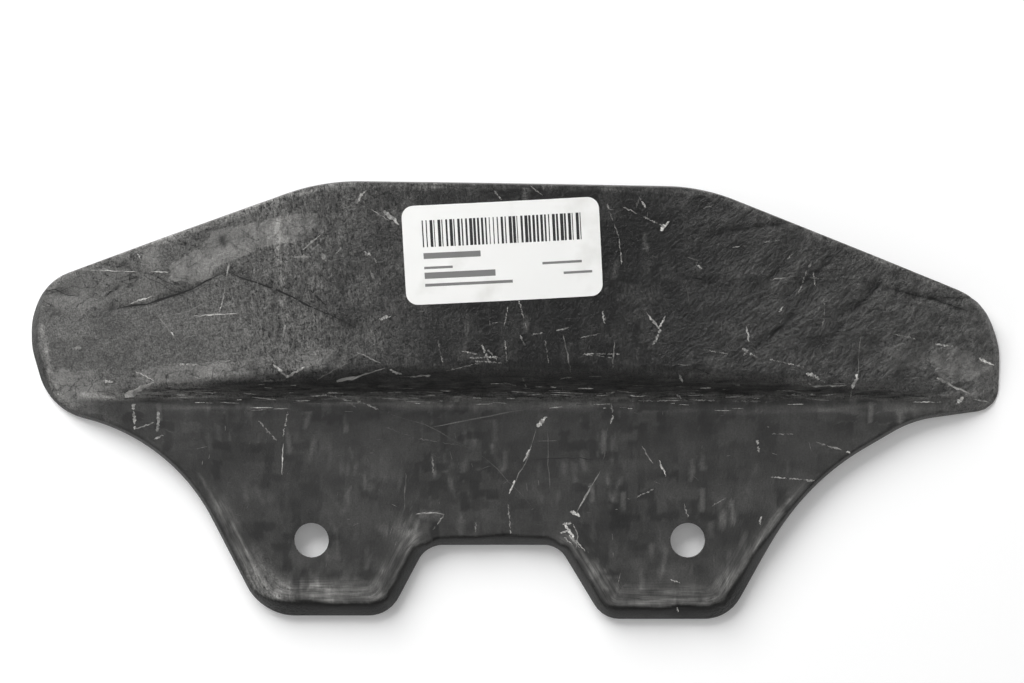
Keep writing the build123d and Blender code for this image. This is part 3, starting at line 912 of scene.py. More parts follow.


# Resin marks on the bag side: pale slivers where the film tore resin off, and dark ones along the folds as
# painted shade.
# Each is a grey, the width at its start and end in mm, the length of its dashes in mm (0: whole),
# and its run of picture points
marks = {
    "leftEnd": [
        (205, 0.3, 0.25, 6, [(88, 269), (121, 269.5)]), (215, 0.2, 0.2, 0, [(90, 270), (137, 272)]),
        (130, 0.25, 0.25, 2, [(152, 312), (187, 356)]), (210, 0.3, 0.2, 0, [(152, 271.5), (170, 272)]),
        (210, 0.4, 0.2, 0, [(138, 253), (141, 259)]), (225, 0.5, 0.3, 0, [(130, 304), (152, 296.5)]),
        (150, 0.5, 0.3, 0, [(231, 248), (228, 271), (224, 295)]),
        (180, 0.35, 0.25, 3, [(281, 250), (284, 300), (287, 328)]),
        (190, 0.45, 0.2, 0, [(225, 292), (219.5, 312)]),
        (215, 0.25, 0.4, 0, [(191, 316), (238, 313.5)]), (130, 0.25, 0.2, 0, [(175, 318), (192, 316)]),
        (125, 0.35, 0.2, 0, [(154, 310), (172, 334), (187, 354)]),
        (225, 0.55, 0.4, 0, [(171, 332), (174, 336)]),
        (120, 0.4, 0.3, 0, [(163, 318), (190, 311), (216, 298)]),
        (140, 0.9, 0.5, 0, [(72, 349), (82, 347)]), (200, 0.6, 0.4, 0, [(56, 394), (63, 400)]),
        (190, 0.8, 0.4, 0, [(101, 381), (113, 382)]),
        (185, 2.3, 0.25, 0, [(125, 396), (139, 390), (154, 382)]),
        (225, 0.8, 0.25, 0, [(125, 394), (139, 388), (154, 382)]),
        (190, 0.5, 0.2, 0, [(136, 372), (154, 380)]), (205, 0.5, 0.5, 2.5, [(163, 365), (200, 364)]),
        (170, 0.25, 0.2, 0, [(200, 363.5), (233, 360)]),
        (220, 0.8, 0.5, 2, [(133.5, 404), (134.5, 430)]),
        (220, 0.9, 0.7, 2.5, [(158.5, 411), (157, 432)]),
        (150, 0.3, 0.4, 0, [(134, 429.5), (154, 422.5)]),
        (150, 0.5, 0.3, 0, [(154, 439), (164, 435)]), (24, 0.35, 0.2, 0, [(105, 296), (118, 288)]),
        (26, 0.35, 0.2, 0, [(46, 291), (55, 289), (63, 294), (79, 296)]),
        (12, 0.48, 0.45, 0, [(110, 310), (150, 303), (190, 290), (213, 278), (228, 271)]),
    ],
    "leftHood": [
        (165, 0.5, 0.3, 0, [(303, 250), (321, 234)]), (160, 0.35, 0.2, 0, [(370, 209), (390, 221)]),
        (190, 1.7, 0.5, 0, [(384, 211), (399, 225)]), (195, 0.6, 0.4, 0, [(357, 204), (362, 193)]),
        (185, 0.5, 0.3, 0, [(360, 197), (367, 190)]), (150, 0.3, 0.2, 2, [(347, 200), (356, 199)]),
        (175, 0.5, 0.8, 0, [(378, 320), (390, 316)]), (190, 0.4, 0.6, 0, [(273, 364), (287, 376)]),
        (205, 0.9, 0.3, 0, [(286, 377), (305, 367)]),
        (190, 0.9, 0.15, 0, [(337, 381), (360, 376), (385, 368)]),
        (190, 0.7, 0.4, 0, [(390, 370), (402, 375)]), (190, 0.35, 0.8, 0, [(410, 377), (431, 375)]),
        (150, 0.5, 0.3, 3, [(261, 381), (288, 380)]), (160, 0.3, 0.3, 0, [(356, 352), (381, 363)]),
        (130, 0.3, 0.2, 0, [(316, 380), (352, 361)]), (140, 0.9, 0.9, 0, [(294, 257), (310, 257)]),
        (140, 0.8, 0.8, 0, [(322, 253), (326, 261)]), (150, 0.4, 0.3, 0, [(336, 254), (342, 247)]),
        (170, 0.7, 0.5, 0, [(364, 252), (371, 255)]), (150, 0.3, 0.3, 0, [(374, 258), (377, 263)]),
        (112, 0.7, 0.4, 0, [(370, 270), (377, 290)]), (115, 0.5, 0.3, 0, [(298, 330), (290, 352)]),
        (12, 0.48, 0.3, 0, [(228, 271), (240, 277), (271, 287), (322, 312), (356, 328)]),
        (16, 0.6, 0.2, 0, [(315, 295), (327, 306)]),
    ],
    "middle": [
        (190, 0.25, 0.2, 1.5, [(508, 306), (504, 328)]), (190, 0.35, 0.25, 2, [(519, 301), (527, 330)]),
        (200, 0.4, 0.3, 1, [(462, 351), (480, 355)]), (200, 0.4, 0.3, 1, [(470, 358), (498, 357)]),
        (210, 0.5, 0.3, 1, [(488, 350), (497, 360)]), (210, 0.45, 0.45, 0.7, [(482, 345), (489, 362)]),
        (190, 0.4, 0.3, 0.8, [(476, 361), (502, 363)]), (180, 0.3, 0.25, 1, [(505, 340), (507, 362)]),
        (170, 0.3, 0.2, 1.5, [(438, 340), (443, 366)]),
        (160, 0.3, 0.2, 1.5, [(545, 340), (549, 366)]),
        (190, 0.4, 0.3, 1.2, [(520, 335), (526, 347)]),
        (200, 0.25, 0.3, 1.5, [(531, 335), (543, 333)]), (200, 0.5, 0.3, 2, [(556, 331), (570, 327)]),
        (120, 0.35, 0.2, 0, [(563, 335), (571, 374)]), (190, 0.25, 0.25, 2, [(584, 354), (613, 358)]),
        (190, 0.25, 0.2, 1.5, [(446, 371), (480, 363)]), (160, 0.3, 0.2, 0, [(530, 186), (543, 196)]),
        (200, 0.4, 0.3, 1.5, [(494, 191), (502, 200)]),
        (190, 0.3, 0.3, 1.5, [(503, 382), (518, 386)]),
        (190, 0.3, 0.3, 1.2, [(523, 377), (526, 388)]),
        (195, 0.3, 0.3, 1.5, [(560, 379), (572, 377)]), (200, 0.5, 0.3, 0, [(603, 311), (604, 323)]),
        (170, 0.25, 0.2, 2, [(580, 338), (602, 333)]), (150, 0.3, 0.3, 0, [(614, 341), (613, 369)]),
        (200, 0.4, 0.3, 2, [(584, 354), (620, 354)]),
    ],
    "rightHood": [
        (190, 0.3, 0.25, 3, [(607, 204), (619, 237), (622, 269)]),
        (200, 0.3, 0.3, 2.5, [(623, 207), (656, 223), (666, 227)]),
        (225, 1.0, 0.5, 0, [(661, 230), (669, 222)]), (200, 0.5, 0.4, 1.5, [(639, 197), (646, 209)]),
        (180, 0.4, 0.3, 2, [(639, 198), (636, 209)]), (160, 0.3, 0.2, 2, [(703, 209), (715, 204)]),
        (190, 0.25, 0.2, 2, [(732, 247), (748, 246)]), (190, 0.25, 0.2, 2, [(764, 242), (780, 240)]),
        (150, 0.4, 0.3, 0, [(787, 259), (794, 253)]), (200, 0.4, 0.3, 0, [(697, 265), (702, 269)]),
        (150, 0.25, 0.2, 0, [(769, 280), (798, 275)]),
        (200, 0.5, 0.3, 2, [(811, 262), (805, 274), (802, 285)]),
        (190, 0.4, 0.3, 2, [(802, 285), (797, 295)]), (190, 0.5, 0.3, 2, [(810, 278), (830, 279)]),
        (180, 0.3, 0.3, 1.5, [(813, 272), (816, 288)]),
        (190, 0.3, 0.25, 2, [(823, 298), (824, 315), (821, 332)]),
        (200, 0.5, 0.2, 0, [(778, 312), (783, 306)]), (200, 0.5, 0.5, 0, [(646, 312), (659, 329)]),
        (200, 0.4, 0.5, 0, [(665, 316), (659, 329)]),
        (190, 0.6, 0.3, 2, [(660, 329), (656, 340), (649, 349)]),
        (140, 0.25, 0.2, 0, [(721, 321), (721, 334)]), (200, 0.2, 0.6, 0, [(745, 325), (749, 341)]),
        (220, 0.6, 0.4, 1.5, [(742, 348), (758, 358)]), (200, 0.5, 0.3, 1, [(743, 355), (748, 349)]),
        (190, 0.25, 0.2, 2, [(703, 349), (728, 354)]), (200, 0.3, 0.3, 1, [(769, 359), (804, 367)]),
        (225, 0.8, 0.5, 0, [(806, 373), (818, 377)]), (200, 0.4, 0.3, 1.5, [(800, 378), (812, 385)]),
        (200, 0.7, 0.15, 0, [(812, 386), (847, 385)]), (210, 0.5, 0.4, 1, [(816, 377), (826, 382)]),
        (230, 0.7, 1.2, 0, [(857, 374), (852, 389)]), (180, 0.3, 0.2, 0, [(852, 389), (851, 397)]),
        (140, 0.2, 0.3, 0, [(860, 332), (858, 374)]), (190, 0.2, 0.3, 2, [(891, 333), (916, 339)]),
        (210, 0.5, 0.4, 2, [(935, 344), (953, 346)]), (235, 0.9, 0.3, 0, [(979, 359), (993, 365)]),
        (180, 0.9, 0.3, 0, [(936, 378), (970, 394)]), (230, 0.9, 0.8, 0, [(957, 402), (962, 397)]),
        (200, 0.3, 0.3, 0, [(973, 399), (988, 402)]), (220, 0.6, 0.5, 0, [(679, 374), (683, 382)]),
        (14, 0.45, 0.2, 0, [(846, 244), (815, 273)]), (14, 0.4, 0.2, 0, [(882, 280), (858, 308)]),
        (14, 0.35, 0.2, 0, [(887, 288), (927, 298), (970, 298)]),
        (16, 0.3, 0.2, 0, [(930, 298), (967, 311)]), (14, 0.45, 0.2, 0, [(792, 316), (758, 347)]),
        (16, 0.35, 0.2, 0, [(680, 275), (712, 282)]), (12, 0.5, 0.3, 0, [(606, 285), (622, 292)]),
        (20, 0.3, 0.2, 0, [(709, 237), (732, 230), (787, 222)]),
    ],
    "crease": [
        (190, 0.3, 0.3, 3, [(191, 394.5), (221, 392)]),
        (190, 0.3, 0.25, 3, [(243, 393.5), (262, 394.5)]),
        (150, 0.2, 0.2, 0, [(168, 386.5), (193, 386.5)]),
        (190, 0.3, 0.3, 2, [(594, 394), (617, 392)]), (220, 0.5, 0.4, 1.5, [(676, 394), (682, 399)]),
        (190, 0.3, 0.3, 2, [(695, 400), (718, 400.5)]),
        (180, 0.25, 0.25, 2, [(732, 401), (758, 401.5)]), (190, 0.35, 0.3, 2, [(792, 394), (818, 395)]),
        (210, 0.3, 0.3, 3, [(913, 402), (943, 402)]),
        (140, 0.18, 0.16, 4, [(215, 395), (260, 393.5), (345, 392.5)]),
        (160, 0.18, 0.16, 4, [(345, 392.5), (461, 392)]), (170, 0.18, 0.16, 4, [(490, 392), (557, 393)]),
        (190, 0.24, 0.2, 3, [(629, 401), (712, 400)]),
    ],
    "plate": [
        (200, 0.3, 0.4, 2, [(259, 421), (277, 441)]), (190, 0.25, 0.3, 2, [(288, 412), (283, 437)]),
        (225, 0.4, 0.2, 0, [(283, 443), (282, 475)]),
        (190, 0.4, 0.3, 2, [(321, 394), (344, 399), (356, 408)]),
        (220, 0.5, 0.3, 2, [(356, 400), (379, 410)]),
        (84, 0.3, 0.2, 0, [(391, 415), (432, 427), (459, 444), (488, 459), (532, 507)]),
        (96, 0.3, 0.25, 4, [(385, 427), (415, 438), (462, 446)]),
        (100, 0.35, 0.3, 0, [(432, 427), (490, 416), (547, 406)]),
        (235, 1.3, 0.6, 0, [(537, 426), (547, 417)]),
        (125, 0.22, 0.2, 0, [(536, 430), (528, 457), (510, 493)]),
        (220, 0.5, 0.35, 0, [(532, 446), (523, 462)]), (215, 0.45, 0.45, 0, [(515, 480), (509, 494)]),
        (165, 0.35, 0.3, 0, [(415, 514), (430, 513), (445, 514)]),
        (165, 0.35, 0.3, 2, [(444, 515), (432, 531)]), (210, 0.3, 0.3, 1.5, [(508, 504), (511, 534)]),
        (88, 0.25, 0.2, 0, [(547, 422), (548, 460), (552, 507)]),
        (150, 0.6, 0.3, 0, [(432, 457), (434, 475)]), (92, 0.35, 0.3, 0, [(406, 472), (404, 510)]),
        (210, 0.4, 0.3, 2.5, [(611, 403), (613, 418), (608, 428)]),
        (84, 0.3, 0.2, 0, [(608, 428), (602, 469)]), (150, 0.25, 0.6, 0, [(601, 470), (576, 513)]),
        (225, 1.0, 0.5, 0, [(570, 512), (580, 516)]), (220, 0.8, 0.5, 0, [(565, 525), (574, 538)]),
        (205, 0.45, 0.3, 0, [(561, 533), (571, 530)]), (200, 0.55, 0.3, 0, [(569, 534), (579, 547)]),
        (215, 0.6, 0.4, 0, [(563, 524), (572, 523)]), (190, 0.35, 0.25, 0, [(573, 524), (578, 534)]),
        (185, 0.4, 0.25, 0, [(575, 540), (585, 551)]), (180, 0.35, 0.2, 0, [(564, 537), (573, 545)]),
        (175, 0.3, 0.2, 0, [(578, 534), (576, 549)]), (140, 0.25, 0.25, 0, [(476, 522), (475, 532)]),
        (18, 0.3, 0.2, 0, [(532, 460), (565, 458), (600, 459)]),
        (160, 0.25, 0.3, 0, [(642, 446), (653, 464)]), (220, 0.4, 0.4, 0, [(659, 460), (666, 477)]),
        (170, 0.3, 0.3, 1, [(637, 497), (654, 489)]), (160, 0.3, 0.3, 0, [(684, 504), (688, 517)]),
        (150, 0.25, 0.2, 0, [(712, 506), (726, 498)]), (220, 0.5, 0.5, 1.5, [(757, 440), (759, 454)]),
        (160, 0.2, 0.2, 1, [(772, 434), (793, 434)]), (215, 0.4, 0.4, 2.5, [(816, 442), (851, 453)]),
        (210, 0.35, 0.4, 2, [(771, 477), (815, 481)]), (190, 0.4, 0.4, 0, [(761, 516), (760, 525)]),
        (190, 0.3, 0.3, 0, [(671, 580), (680, 583)]), (190, 0.3, 0.3, 0, [(677, 607), (678, 612)]),
    ],
}
fine = {
    "rings": 11, "seed": 71, "lift": 0.05, "sideLift": 0.6, "keel": 0.10,
    # width all over, share left at a tip, width from which a mark stays blunt, grey under which it is even
    "thin": 1.05, "tip": 0.12, "blunt": 0.7, "dark": 60,
    # a dash: its share of the run, how much of that it fills, its drift in mm, its ragged sides, its greys
    "cut": (0.35, 1.8), "full": (0.7, 0.99), "drift": 0.07, "ragged": (0.25, 1.3), "tone": (0.6, 1.0),
    "uneven": (0.6, 1.05),
}
# Small strokes along the two ways of the cloth, and level ones along the foot of the riser, in mm
strokes = {
    "cloth": {"count": 300, "x": (-70, 98), "y": (-8, 72), "upright": 0.55, "stray": 0.28,
              "least": 0.5, "more": 0.8, "wide": 0.09, "pale": 130},
    "foot": {"count": 150, "x": (-66, 72), "off": 1.3, "stray": 0.05,
             "least": 0.8, "more": 1.4, "wide": 0.13, "pale": 230},
    "hair": 0.03, "ragged": (0.4, 0.9), "dim": 60, "uneven": (0.7, 1.1), "edgeClear": 4.2, "holeClear": 5.0,
}


def markRuns():
    # every mark cut into dashes; each is a run of places, half widths to either side, and greys along it
    rng = np.random.RandomState(fine["seed"])
    t = np.linspace(0, 1, fine["rings"])
    taper = fine["tip"] + (1 - fine["tip"]) * np.maximum(np.sin(np.pi * t), 0) ** 0.6
    runs, widths, greys = [], [], []
    for group in marks.values():
        for grey, first, last, dash, run in group:
            px, py = seenAt(*np.array(run, float).T)
            gone = np.concatenate([[0], np.cumsum(np.hypot(np.diff(px), np.diff(py)))])
            count = max(1, round(gone[-1] / dash)) if dash else 1
            cuts = np.cumsum(np.append(0, rng.uniform(*fine["cut"], count)))
            cuts /= cuts[-1]
            for a, b in zip(cuts[:-1], cuts[1:]):
                b = a + (b - a) * (rng.uniform(*fine["full"]) if dash else 1.0)
                at = a + (b - a) * t
                drift = rng.normal(0, fine["drift"], (fine["rings"], 2))
                spine = [np.interp(at * gone[-1], gone, place) for place in (px, py)]
                runs.append(np.stack(spine, -1) + drift)
                body = fine["thin"] * (first + (last - first) * at)
                body = body * rng.uniform(*fine["ragged"], (2, fine["rings"]))
                widths.append(body / 2 * (taper if first < fine["blunt"] else taper ** 0.5))
                tones = np.full(fine["rings"], grey * (rng.uniform(*fine["tone"]) if dash else 1.0))
                if grey > fine["dark"]:
                    tones = tones * rng.uniform(*fine["uneven"], fine["rings"])
                greys.append(tones)
    cloth, foot = strokes["cloth"], strokes["foot"]
    count = cloth["count"]
    x, y = rng.uniform(*cloth["x"], count), rng.uniform(*cloth["y"], count)
    turn = np.where(rng.rand(count) < cloth["upright"], math.pi / 2, 0)
    turn = turn + rng.normal(0, cloth["stray"], count)
    length = cloth["least"] + rng.exponential(cloth["more"], count)
    count = foot["count"]
    x = np.append(x, rng.uniform(*foot["x"], count))
    y = np.append(y, form["creaseY"] + rng.normal(0.0, foot["off"], count))
    turn = np.append(turn, rng.normal(0, foot["stray"], count))
    length = np.append(length, foot["least"] + rng.exponential(foot["more"], count))
    way = np.stack([np.cos(turn), np.sin(turn)], -1)[:, None]
    small = np.stack([x, y], -1)[:, None] + (t[None, :, None] - 0.5) * length[:, None, None] * way
    # a stroke stays clear of the edge, the label and the bolt holes
    keep = inside(list(zip(line["x"][::4], line["y"][::4])), x, y) & (underLabel(x, y) < 0.02)
    keep &= nearEdge(x, y)[0] > strokes["edgeClear"]
    keep &= np.hypot(np.abs(x) - form["holePitch"] / 2, y) > strokes["holeClear"]
    onCloth = np.arange(len(x)) < cloth["count"]
    widest = np.where(onCloth, cloth["wide"], foot["wide"])[:, None, None]
    least, more = strokes["ragged"]
    thin = rng.uniform(strokes["hair"], widest, (len(x), 1, 1)) * taper
    thin = thin * (least + more * rng.rand(len(x), 2, fine["rings"]))
    brightest = np.where(onCloth, cloth["pale"], foot["pale"])[:, None]
    tones = rng.uniform(strokes["dim"], brightest, (len(x), 1))
    tones = tones * rng.uniform(*strokes["uneven"], (len(x), fine["rings"]))
    runs = np.concatenate([np.array(runs), small[keep]])
    widths = np.concatenate([np.array(widths), thin[keep]])
    return runs, widths, np.concatenate([np.array(greys), tones[keep]])


def onBagSide(x, y, lift):
    # a place on the wrinkled inner side, raised along its normal
    normal = innerNormal(x, y)
    return np.stack([x, y, innerFace(x, y)], -1) + normal * (reliefAt(x, y) + lift)[..., None]


def resinMarksAndFoldShade():
    # each mark is a closed sliver: rings of left, crest, right and keel, with both ends drawn to a point
    runs, widths, greys = markRuns()
    way = np.gradient(runs, axis=1)
    way /= np.linalg.norm(way, axis=-1, keepdims=True)
    side = np.stack([-way[..., 1], way[..., 0]], -1)
    count, ringCount = greys.shape
    corners = [runs + side * widths[:, 0, :, None], runs, runs - side * widths[:, 1, :, None], runs]
    sideLift = fine["sideLift"] * fine["lift"]
    lifts = [np.full(greys.shape, lift) for lift in (sideLift, fine["lift"], sideLift, -fine["keel"])]
    ringPoints = np.stack([onBagSide(c[..., 0], c[..., 1], lift) for c, lift in zip(corners, lifts)], 2)
    grid = np.arange(count * ringCount * 4).reshape(count, ringCount, 4)
    after = np.roll(grid, -1, 2)
    quads = np.stack([grid[:, :-1], after[:, :-1], after[:, 1:], grid[:, 1:]], -1).reshape(-1, 4)
    caps = np.concatenate([grid[:, 0, ::-1], grid[:, -1]]).reshape(-1, 4)
    piece, used = meshFrom("resin_marks_and_fold_shade", ringPoints.reshape(-1, 3), [(quads, 0), (caps, 0)])
    piece.data.shade_flat()
    attribute(piece, "pale", np.repeat(linearGrey(greys).ravel() / palest, 4)[used])
    print("resin marks:", count, "slivers,", len(piece.data.polygons), "faces")
    return piece


# Materials
def fillInputs(tree, node, inputs):
    # a value or a link for each input
    for key, value in inputs.items():
        if isinstance(value, bpy.types.NodeSocket):
            tree.links.new(value, node.inputs[key])
        else:
            node.inputs[key].default_value = value


def addNode(tree, kind, inputs, out=0, **settings):
    # one node with its settings and inputs, and one of its outputs handed back
    node = tree.nodes.new("ShaderNode" + kind)
    for name, value in settings.items():
        setattr(node, name, value)
    fillInputs(tree, node, inputs)
    return node.outputs[out]


def newMaterial(name):
    # a material with its node tree and its shader
    material = bpy.data.materials.new(name)
    material.use_nodes = True
    tree = material.node_tree
    return material, tree, tree.nodes["Principled BSDF"]


noiseSpan = {1: 0.3, 2: 0.7}  # from low to high, where most of a noise texture lies

# Bag side of a carbon and epoxy laminate: dull resin, pale where the film rubbed or tore it. The rolled lip
# gets a copy that reflects less, as painted shade, so it stays dark where the bag side shines.
# Grain sizes are in mm, across, along and up, with the way they run and how strong they are
bagSide = {
    "grains": {
        "upright": {"size": (0.46, 1.35, 1.1), "turn": 0.12, "bend": 0.9, "strength": 6.2, "height": 0.50},
        "slanted": {"size": (1.2, 0.9, 0.9), "turn": 0.70, "bend": 0.1, "strength": 3.2, "height": 1.10},
        "level": {"size": (4.0, 0.6, 0.9), "turn": 0.0, "bend": 0.6, "strength": 6.5, "height": 0.10},
        "rubbed": {"size": (7.0, 0.45, 1.0), "turn": 0.0, "bend": 0.5, "strength": 3.4, "height": 0.03},
        "even": {"size": (0.36, 0.36, 0.36), "turn": 0.0, "bend": 0.0, "strength": 3.4, "height": 0.10},
    },
    "detail": 4.0, "coarseness": 0.65, "bump": 0.9, "roughness": {3: 0.40, 4: 0.54},
    "facetSize": 5.0, "facetWarp": 1.0, "raggedSize": 1.3, "ragged": 1.6, "raggedEdge": 0.15, "tone": 0.5,
    "cracks": [((9.0, 5.0, 7.0), 1.5), ((3.2, 5.5, 4.0), 1.1)],
    "crackBend": 0.7, "crackWidth": {1: 0.002, 2: 0.018},
    "specular": {"carbon_laminate_bag_side": 0.5, "carbon_laminate_lip_painted_shade": 0.3},
}


def bagSideCarbon(name):
    material, tree, shader = newMaterial(name)
    place = addNode(tree, "TexCoord", {}, "Object")
    at = addNode(tree, "VectorMath", {0: place, 3: 1 / mm}, operation="SCALE")
    told = ("pale", "edgeRun", "edgeGap", "facetDepth", "facetLift", "crackShare")
    pale, run, gap, depth, lift, cracked = [
        addNode(tree, "Attribute", {}, "Fac", attribute_name=value) for value in told]
    alongEdge = addNode(tree, "CombineXYZ", {0: run, 1: gap})
    change, height, even = 0.0, 0.0, None
    for kind, grain in bagSide["grains"].items():
        # the pattern's size in mm is the scale of a texture mapping, which turns first and then divides
        start = alongEdge if kind == "rubbed" else at
        placing = {"Vector": start, "Rotation": (0, 0, grain["turn"]), "Scale": grain["size"]}
        turned = addNode(tree, "Mapping", placing, vector_type="TEXTURE")
        even = addNode(tree, "TexNoise", {
            "Vector": turned, "Scale": 1.0, "Detail": bagSide["detail"], "Roughness": bagSide["coarseness"],
            "Distortion": grain["bend"]})
        swing = addNode(tree, "Math", {0: even, 1: 0.5}, operation="SUBTRACT")
        share = addNode(tree, "Attribute", {}, "Fac", attribute_name=kind + "Grain")
        swing = addNode(tree, "Math", {0: swing, 1: share}, operation="MULTIPLY")
        change = addNode(tree, "Math", {0: swing, 1: grain["strength"], 2: change}, operation="MULTIPLY_ADD")
        height = addNode(tree, "Math", {0: swing, 1: grain["height"], 2: height}, operation="MULTIPLY_ADD")
    # facets of smooth resin: lighter inside a ragged line, in cells of different tone with dark seams
    patches = {"Vector": at, "Scale": 1 / bagSide["raggedSize"], "Detail": 3.0}
    ragged = addNode(tree, "TexNoise", patches).node.outputs
    depth = addNode(tree, "Math", {0: ragged[0], 1: bagSide["ragged"], 2: depth}, operation="MULTIPLY_ADD")
    border, edge = bagSide["ragged"] / 2, bagSide["raggedEdge"]
    share = addNode(tree, "MapRange", {0: depth, 1: border - edge, 2: border + edge, 3: 0.0, 4: 1.0})
    change = addNode(tree, "Math", {0: share, 1: lift, 2: change}, operation="MULTIPLY_ADD")
    cracked = addNode(tree, "Math", {0: share, 1: cracked}, operation="MAXIMUM")
    warp = {0: ragged[1], 1: (bagSide["facetWarp"],) * 3, 2: at}
    bent = addNode(tree, "VectorMath", warp, operation="MULTIPLY_ADD")
    cells = {"Vector": bent, "Scale": 1 / bagSide["facetSize"]}
    tone = addNode(tree, "TexVoronoi", cells, "Color", distance="MANHATTAN")
    tone = addNode(tree, "SeparateColor", {0: tone})
    tone = addNode(tree, "Math", {0: tone, 1: 0.5}, operation="SUBTRACT")
    tone = addNode(tree, "Math", {0: tone, 1: bagSide["tone"]}, operation="MULTIPLY")
    for size, dark in bagSide["cracks"]:
        # a crack runs where the noise crosses its middle, and fades out with the ragged noise
        crack = addNode(tree, "Mapping", {"Vector": at, "Scale": size}, vector_type="TEXTURE")
        crack = {"Vector": crack, "Scale": 1.0, "Detail": 2.0, "Distortion": bagSide["crackBend"]}
        crack = addNode(tree, "TexNoise", crack)
        crack = addNode(tree, "Math", {0: crack, 1: 0.5}, operation="SUBTRACT")
        crack = addNode(tree, "Math", {0: crack}, operation="ABSOLUTE")
        crack = addNode(tree, "MapRange", {0: crack, **bagSide["crackWidth"], 3: -dark, 4: 0.0})
        tone = addNode(tree, "Math", {0: crack, 1: ragged[0], 2: tone}, operation="MULTIPLY_ADD")
    change = addNode(tree, "Math", {0: tone, 1: cracked, 2: change}, operation="MULTIPLY_ADD")
    pale = addNode(tree, "Math", {0: pale, 1: change, 2: pale}, operation="MULTIPLY_ADD", use_clamp=True)
    greys = {0: pale, 6: linear(shade["darkest"]), 7: linear(shade["palest"])}
    fillInputs(tree, shader, {
        "Base Color": addNode(tree, "Mix", greys, 2, data_type="RGBA"),
        "Roughness": addNode(tree, "MapRange", {0: even, **noiseSpan, **bagSide["roughness"]}),
        "Normal": addNode(tree, "Bump", {"Strength": bagSide["bump"], "Distance": mm, "Height": height}),
        "Specular IOR Level": bagSide["specular"][name],
    })
    return material


# Torn resin: the same epoxy, pale where it is full of air; near black along the folds, where it is painted
# shade
tornFinish = {"speckSize": 0.3, "tone": {3: 0.55, 4: 1.2}, "roughness": {3: 0.45, 4: 0.6}}


def tornResinAndFoldShade():
    material, tree, shader = newMaterial("epoxy_resin_torn_and_fold_shade")
    place = addNode(tree, "TexCoord", {}, "Object")
    specks = {"Vector": place, "Scale": 1000 / tornFinish["speckSize"], "Detail": 3.0, "Roughness": 0.6}
    speck = addNode(tree, "TexNoise", specks)
    change = addNode(tree, "MapRange", {0: speck, **noiseSpan, **tornFinish["tone"]})
    pale = addNode(tree, "Attribute", {}, "Fac", attribute_name="pale")
    pale = addNode(tree, "Math", {0: pale, 1: change}, operation="MULTIPLY")
    greys = {0: pale, 6: linear(shade["darkest"]), 7: linear(shade["palest"])}
    fillInputs(tree, shader, {
        "Base Color": addNode(tree, "Mix", greys, 2, data_type="RGBA", clamp_factor=False),
        "Roughness": addNode(tree, "MapRange", {0: speck, **noiseSpan, **tornFinish["roughness"]}),
    })
    return material


# Side cured against the polished mould: two-by-two twill under clear glossy resin.
# Each tow darkens towards its sides; tows of one way are lighter than the other, with fine fibres along them
mouldSide = {
    "turn": math.radians(45), "dark": "#0b0b0c", "light": "#464648", "fibreLong": 1.6, "fibreWide": 0.07,
    "middle": 0.35, "sides": -1.3, "oneWay": 0.30, "fibres": 0.35, "towDepth": 0.2, "bump": 0.5,
    "shader": {"Roughness": 0.38, "Coat Weight": 1.0, "Coat Roughness": 0.06},
}


def mouldSideCarbon():
    material, tree, shader = newMaterial("carbon_twill_mould_side")
    place = addNode(tree, "TexCoord", {}, "Object")
    tow = bagMarks["towWide"] * mm
    placing = {"Vector": place, "Rotation": (0, 0, mouldSide["turn"]), "Scale": (tow, tow, tow)}
    at = addNode(tree, "Mapping", placing, vector_type="TEXTURE")
    cell = addNode(tree, "VectorMath", {0: at}, operation="FLOOR")
    cell = addNode(tree, "SeparateXYZ", {0: cell}).node.outputs
    offset = addNode(tree, "VectorMath", {0: at}, operation="FRACTION")
    offset = addNode(tree, "VectorMath", {0: offset, 1: (0.5, 0.5, 0.5)}, operation="SUBTRACT")
    offset = addNode(tree, "SeparateXYZ", {0: offset}).node.outputs
    number = addNode(tree, "Math", {0: cell[0], 1: cell[1]}, operation="SUBTRACT")
    number = addNode(tree, "Math", {0: number, 1: 4.0}, operation="FLOORED_MODULO")
    over = addNode(tree, "Math", {0: number, 1: 1.5}, operation="LESS_THAN")
    across = addNode(tree, "Mix", {0: over, 2: offset[1], 3: offset[0]})
    fall = addNode(tree, "Math", {0: across, 1: across}, operation="MULTIPLY")
    long, wide = mouldSide["fibreLong"], mouldSide["fibreWide"]
    fibre = []
    for size in ((long, wide, 1.0), (wide, long, 1.0)):
        drawn = addNode(tree, "Mapping", {"Vector": at, "Scale": size}, vector_type="TEXTURE")
        fibre.append(addNode(tree, "TexNoise", {"Vector": drawn, "Scale": 1.0, "Detail": 2.0}))
    fibre = addNode(tree, "Mix", {0: over, 2: fibre[0], 3: fibre[1]})
    tint = mouldSide["middle"]
    tint = addNode(tree, "Math", {0: fall, 1: mouldSide["sides"], 2: tint}, operation="MULTIPLY_ADD")
    tint = addNode(tree, "Math", {0: over, 1: mouldSide["oneWay"], 2: tint}, operation="MULTIPLY_ADD")
    tint = {0: fibre, 1: mouldSide["fibres"], 2: tint}
    tint = addNode(tree, "Math", tint, operation="MULTIPLY_ADD", use_clamp=True)
    greys = {0: tint, 6: linear(mouldSide["dark"]), 7: linear(mouldSide["light"])}
    sunk = addNode(tree, "Math", {0: fall, 1: -1.0}, operation="MULTIPLY")
    bump = {"Strength": mouldSide["bump"], "Distance": mouldSide["towDepth"] * mm, "Height": sunk}
    fillInputs(tree, shader, {
        "Base Color": addNode(tree, "Mix", greys, 2, data_type="RGBA"),
        "Normal": addNode(tree, "Bump", bump),
        **mouldSide["shader"],
    })
    return material


# Laminate sawn and sanded: dull grey, with the plies as fine level lines
cutFinish = {
    "plySize": (3.0, 3.0, 0.25), "dark": "#242424", "light": "#6a6966", "roughness": {3: 0.55, 4: 0.7},
    "bump": 0.4, "depth": 0.1,
}


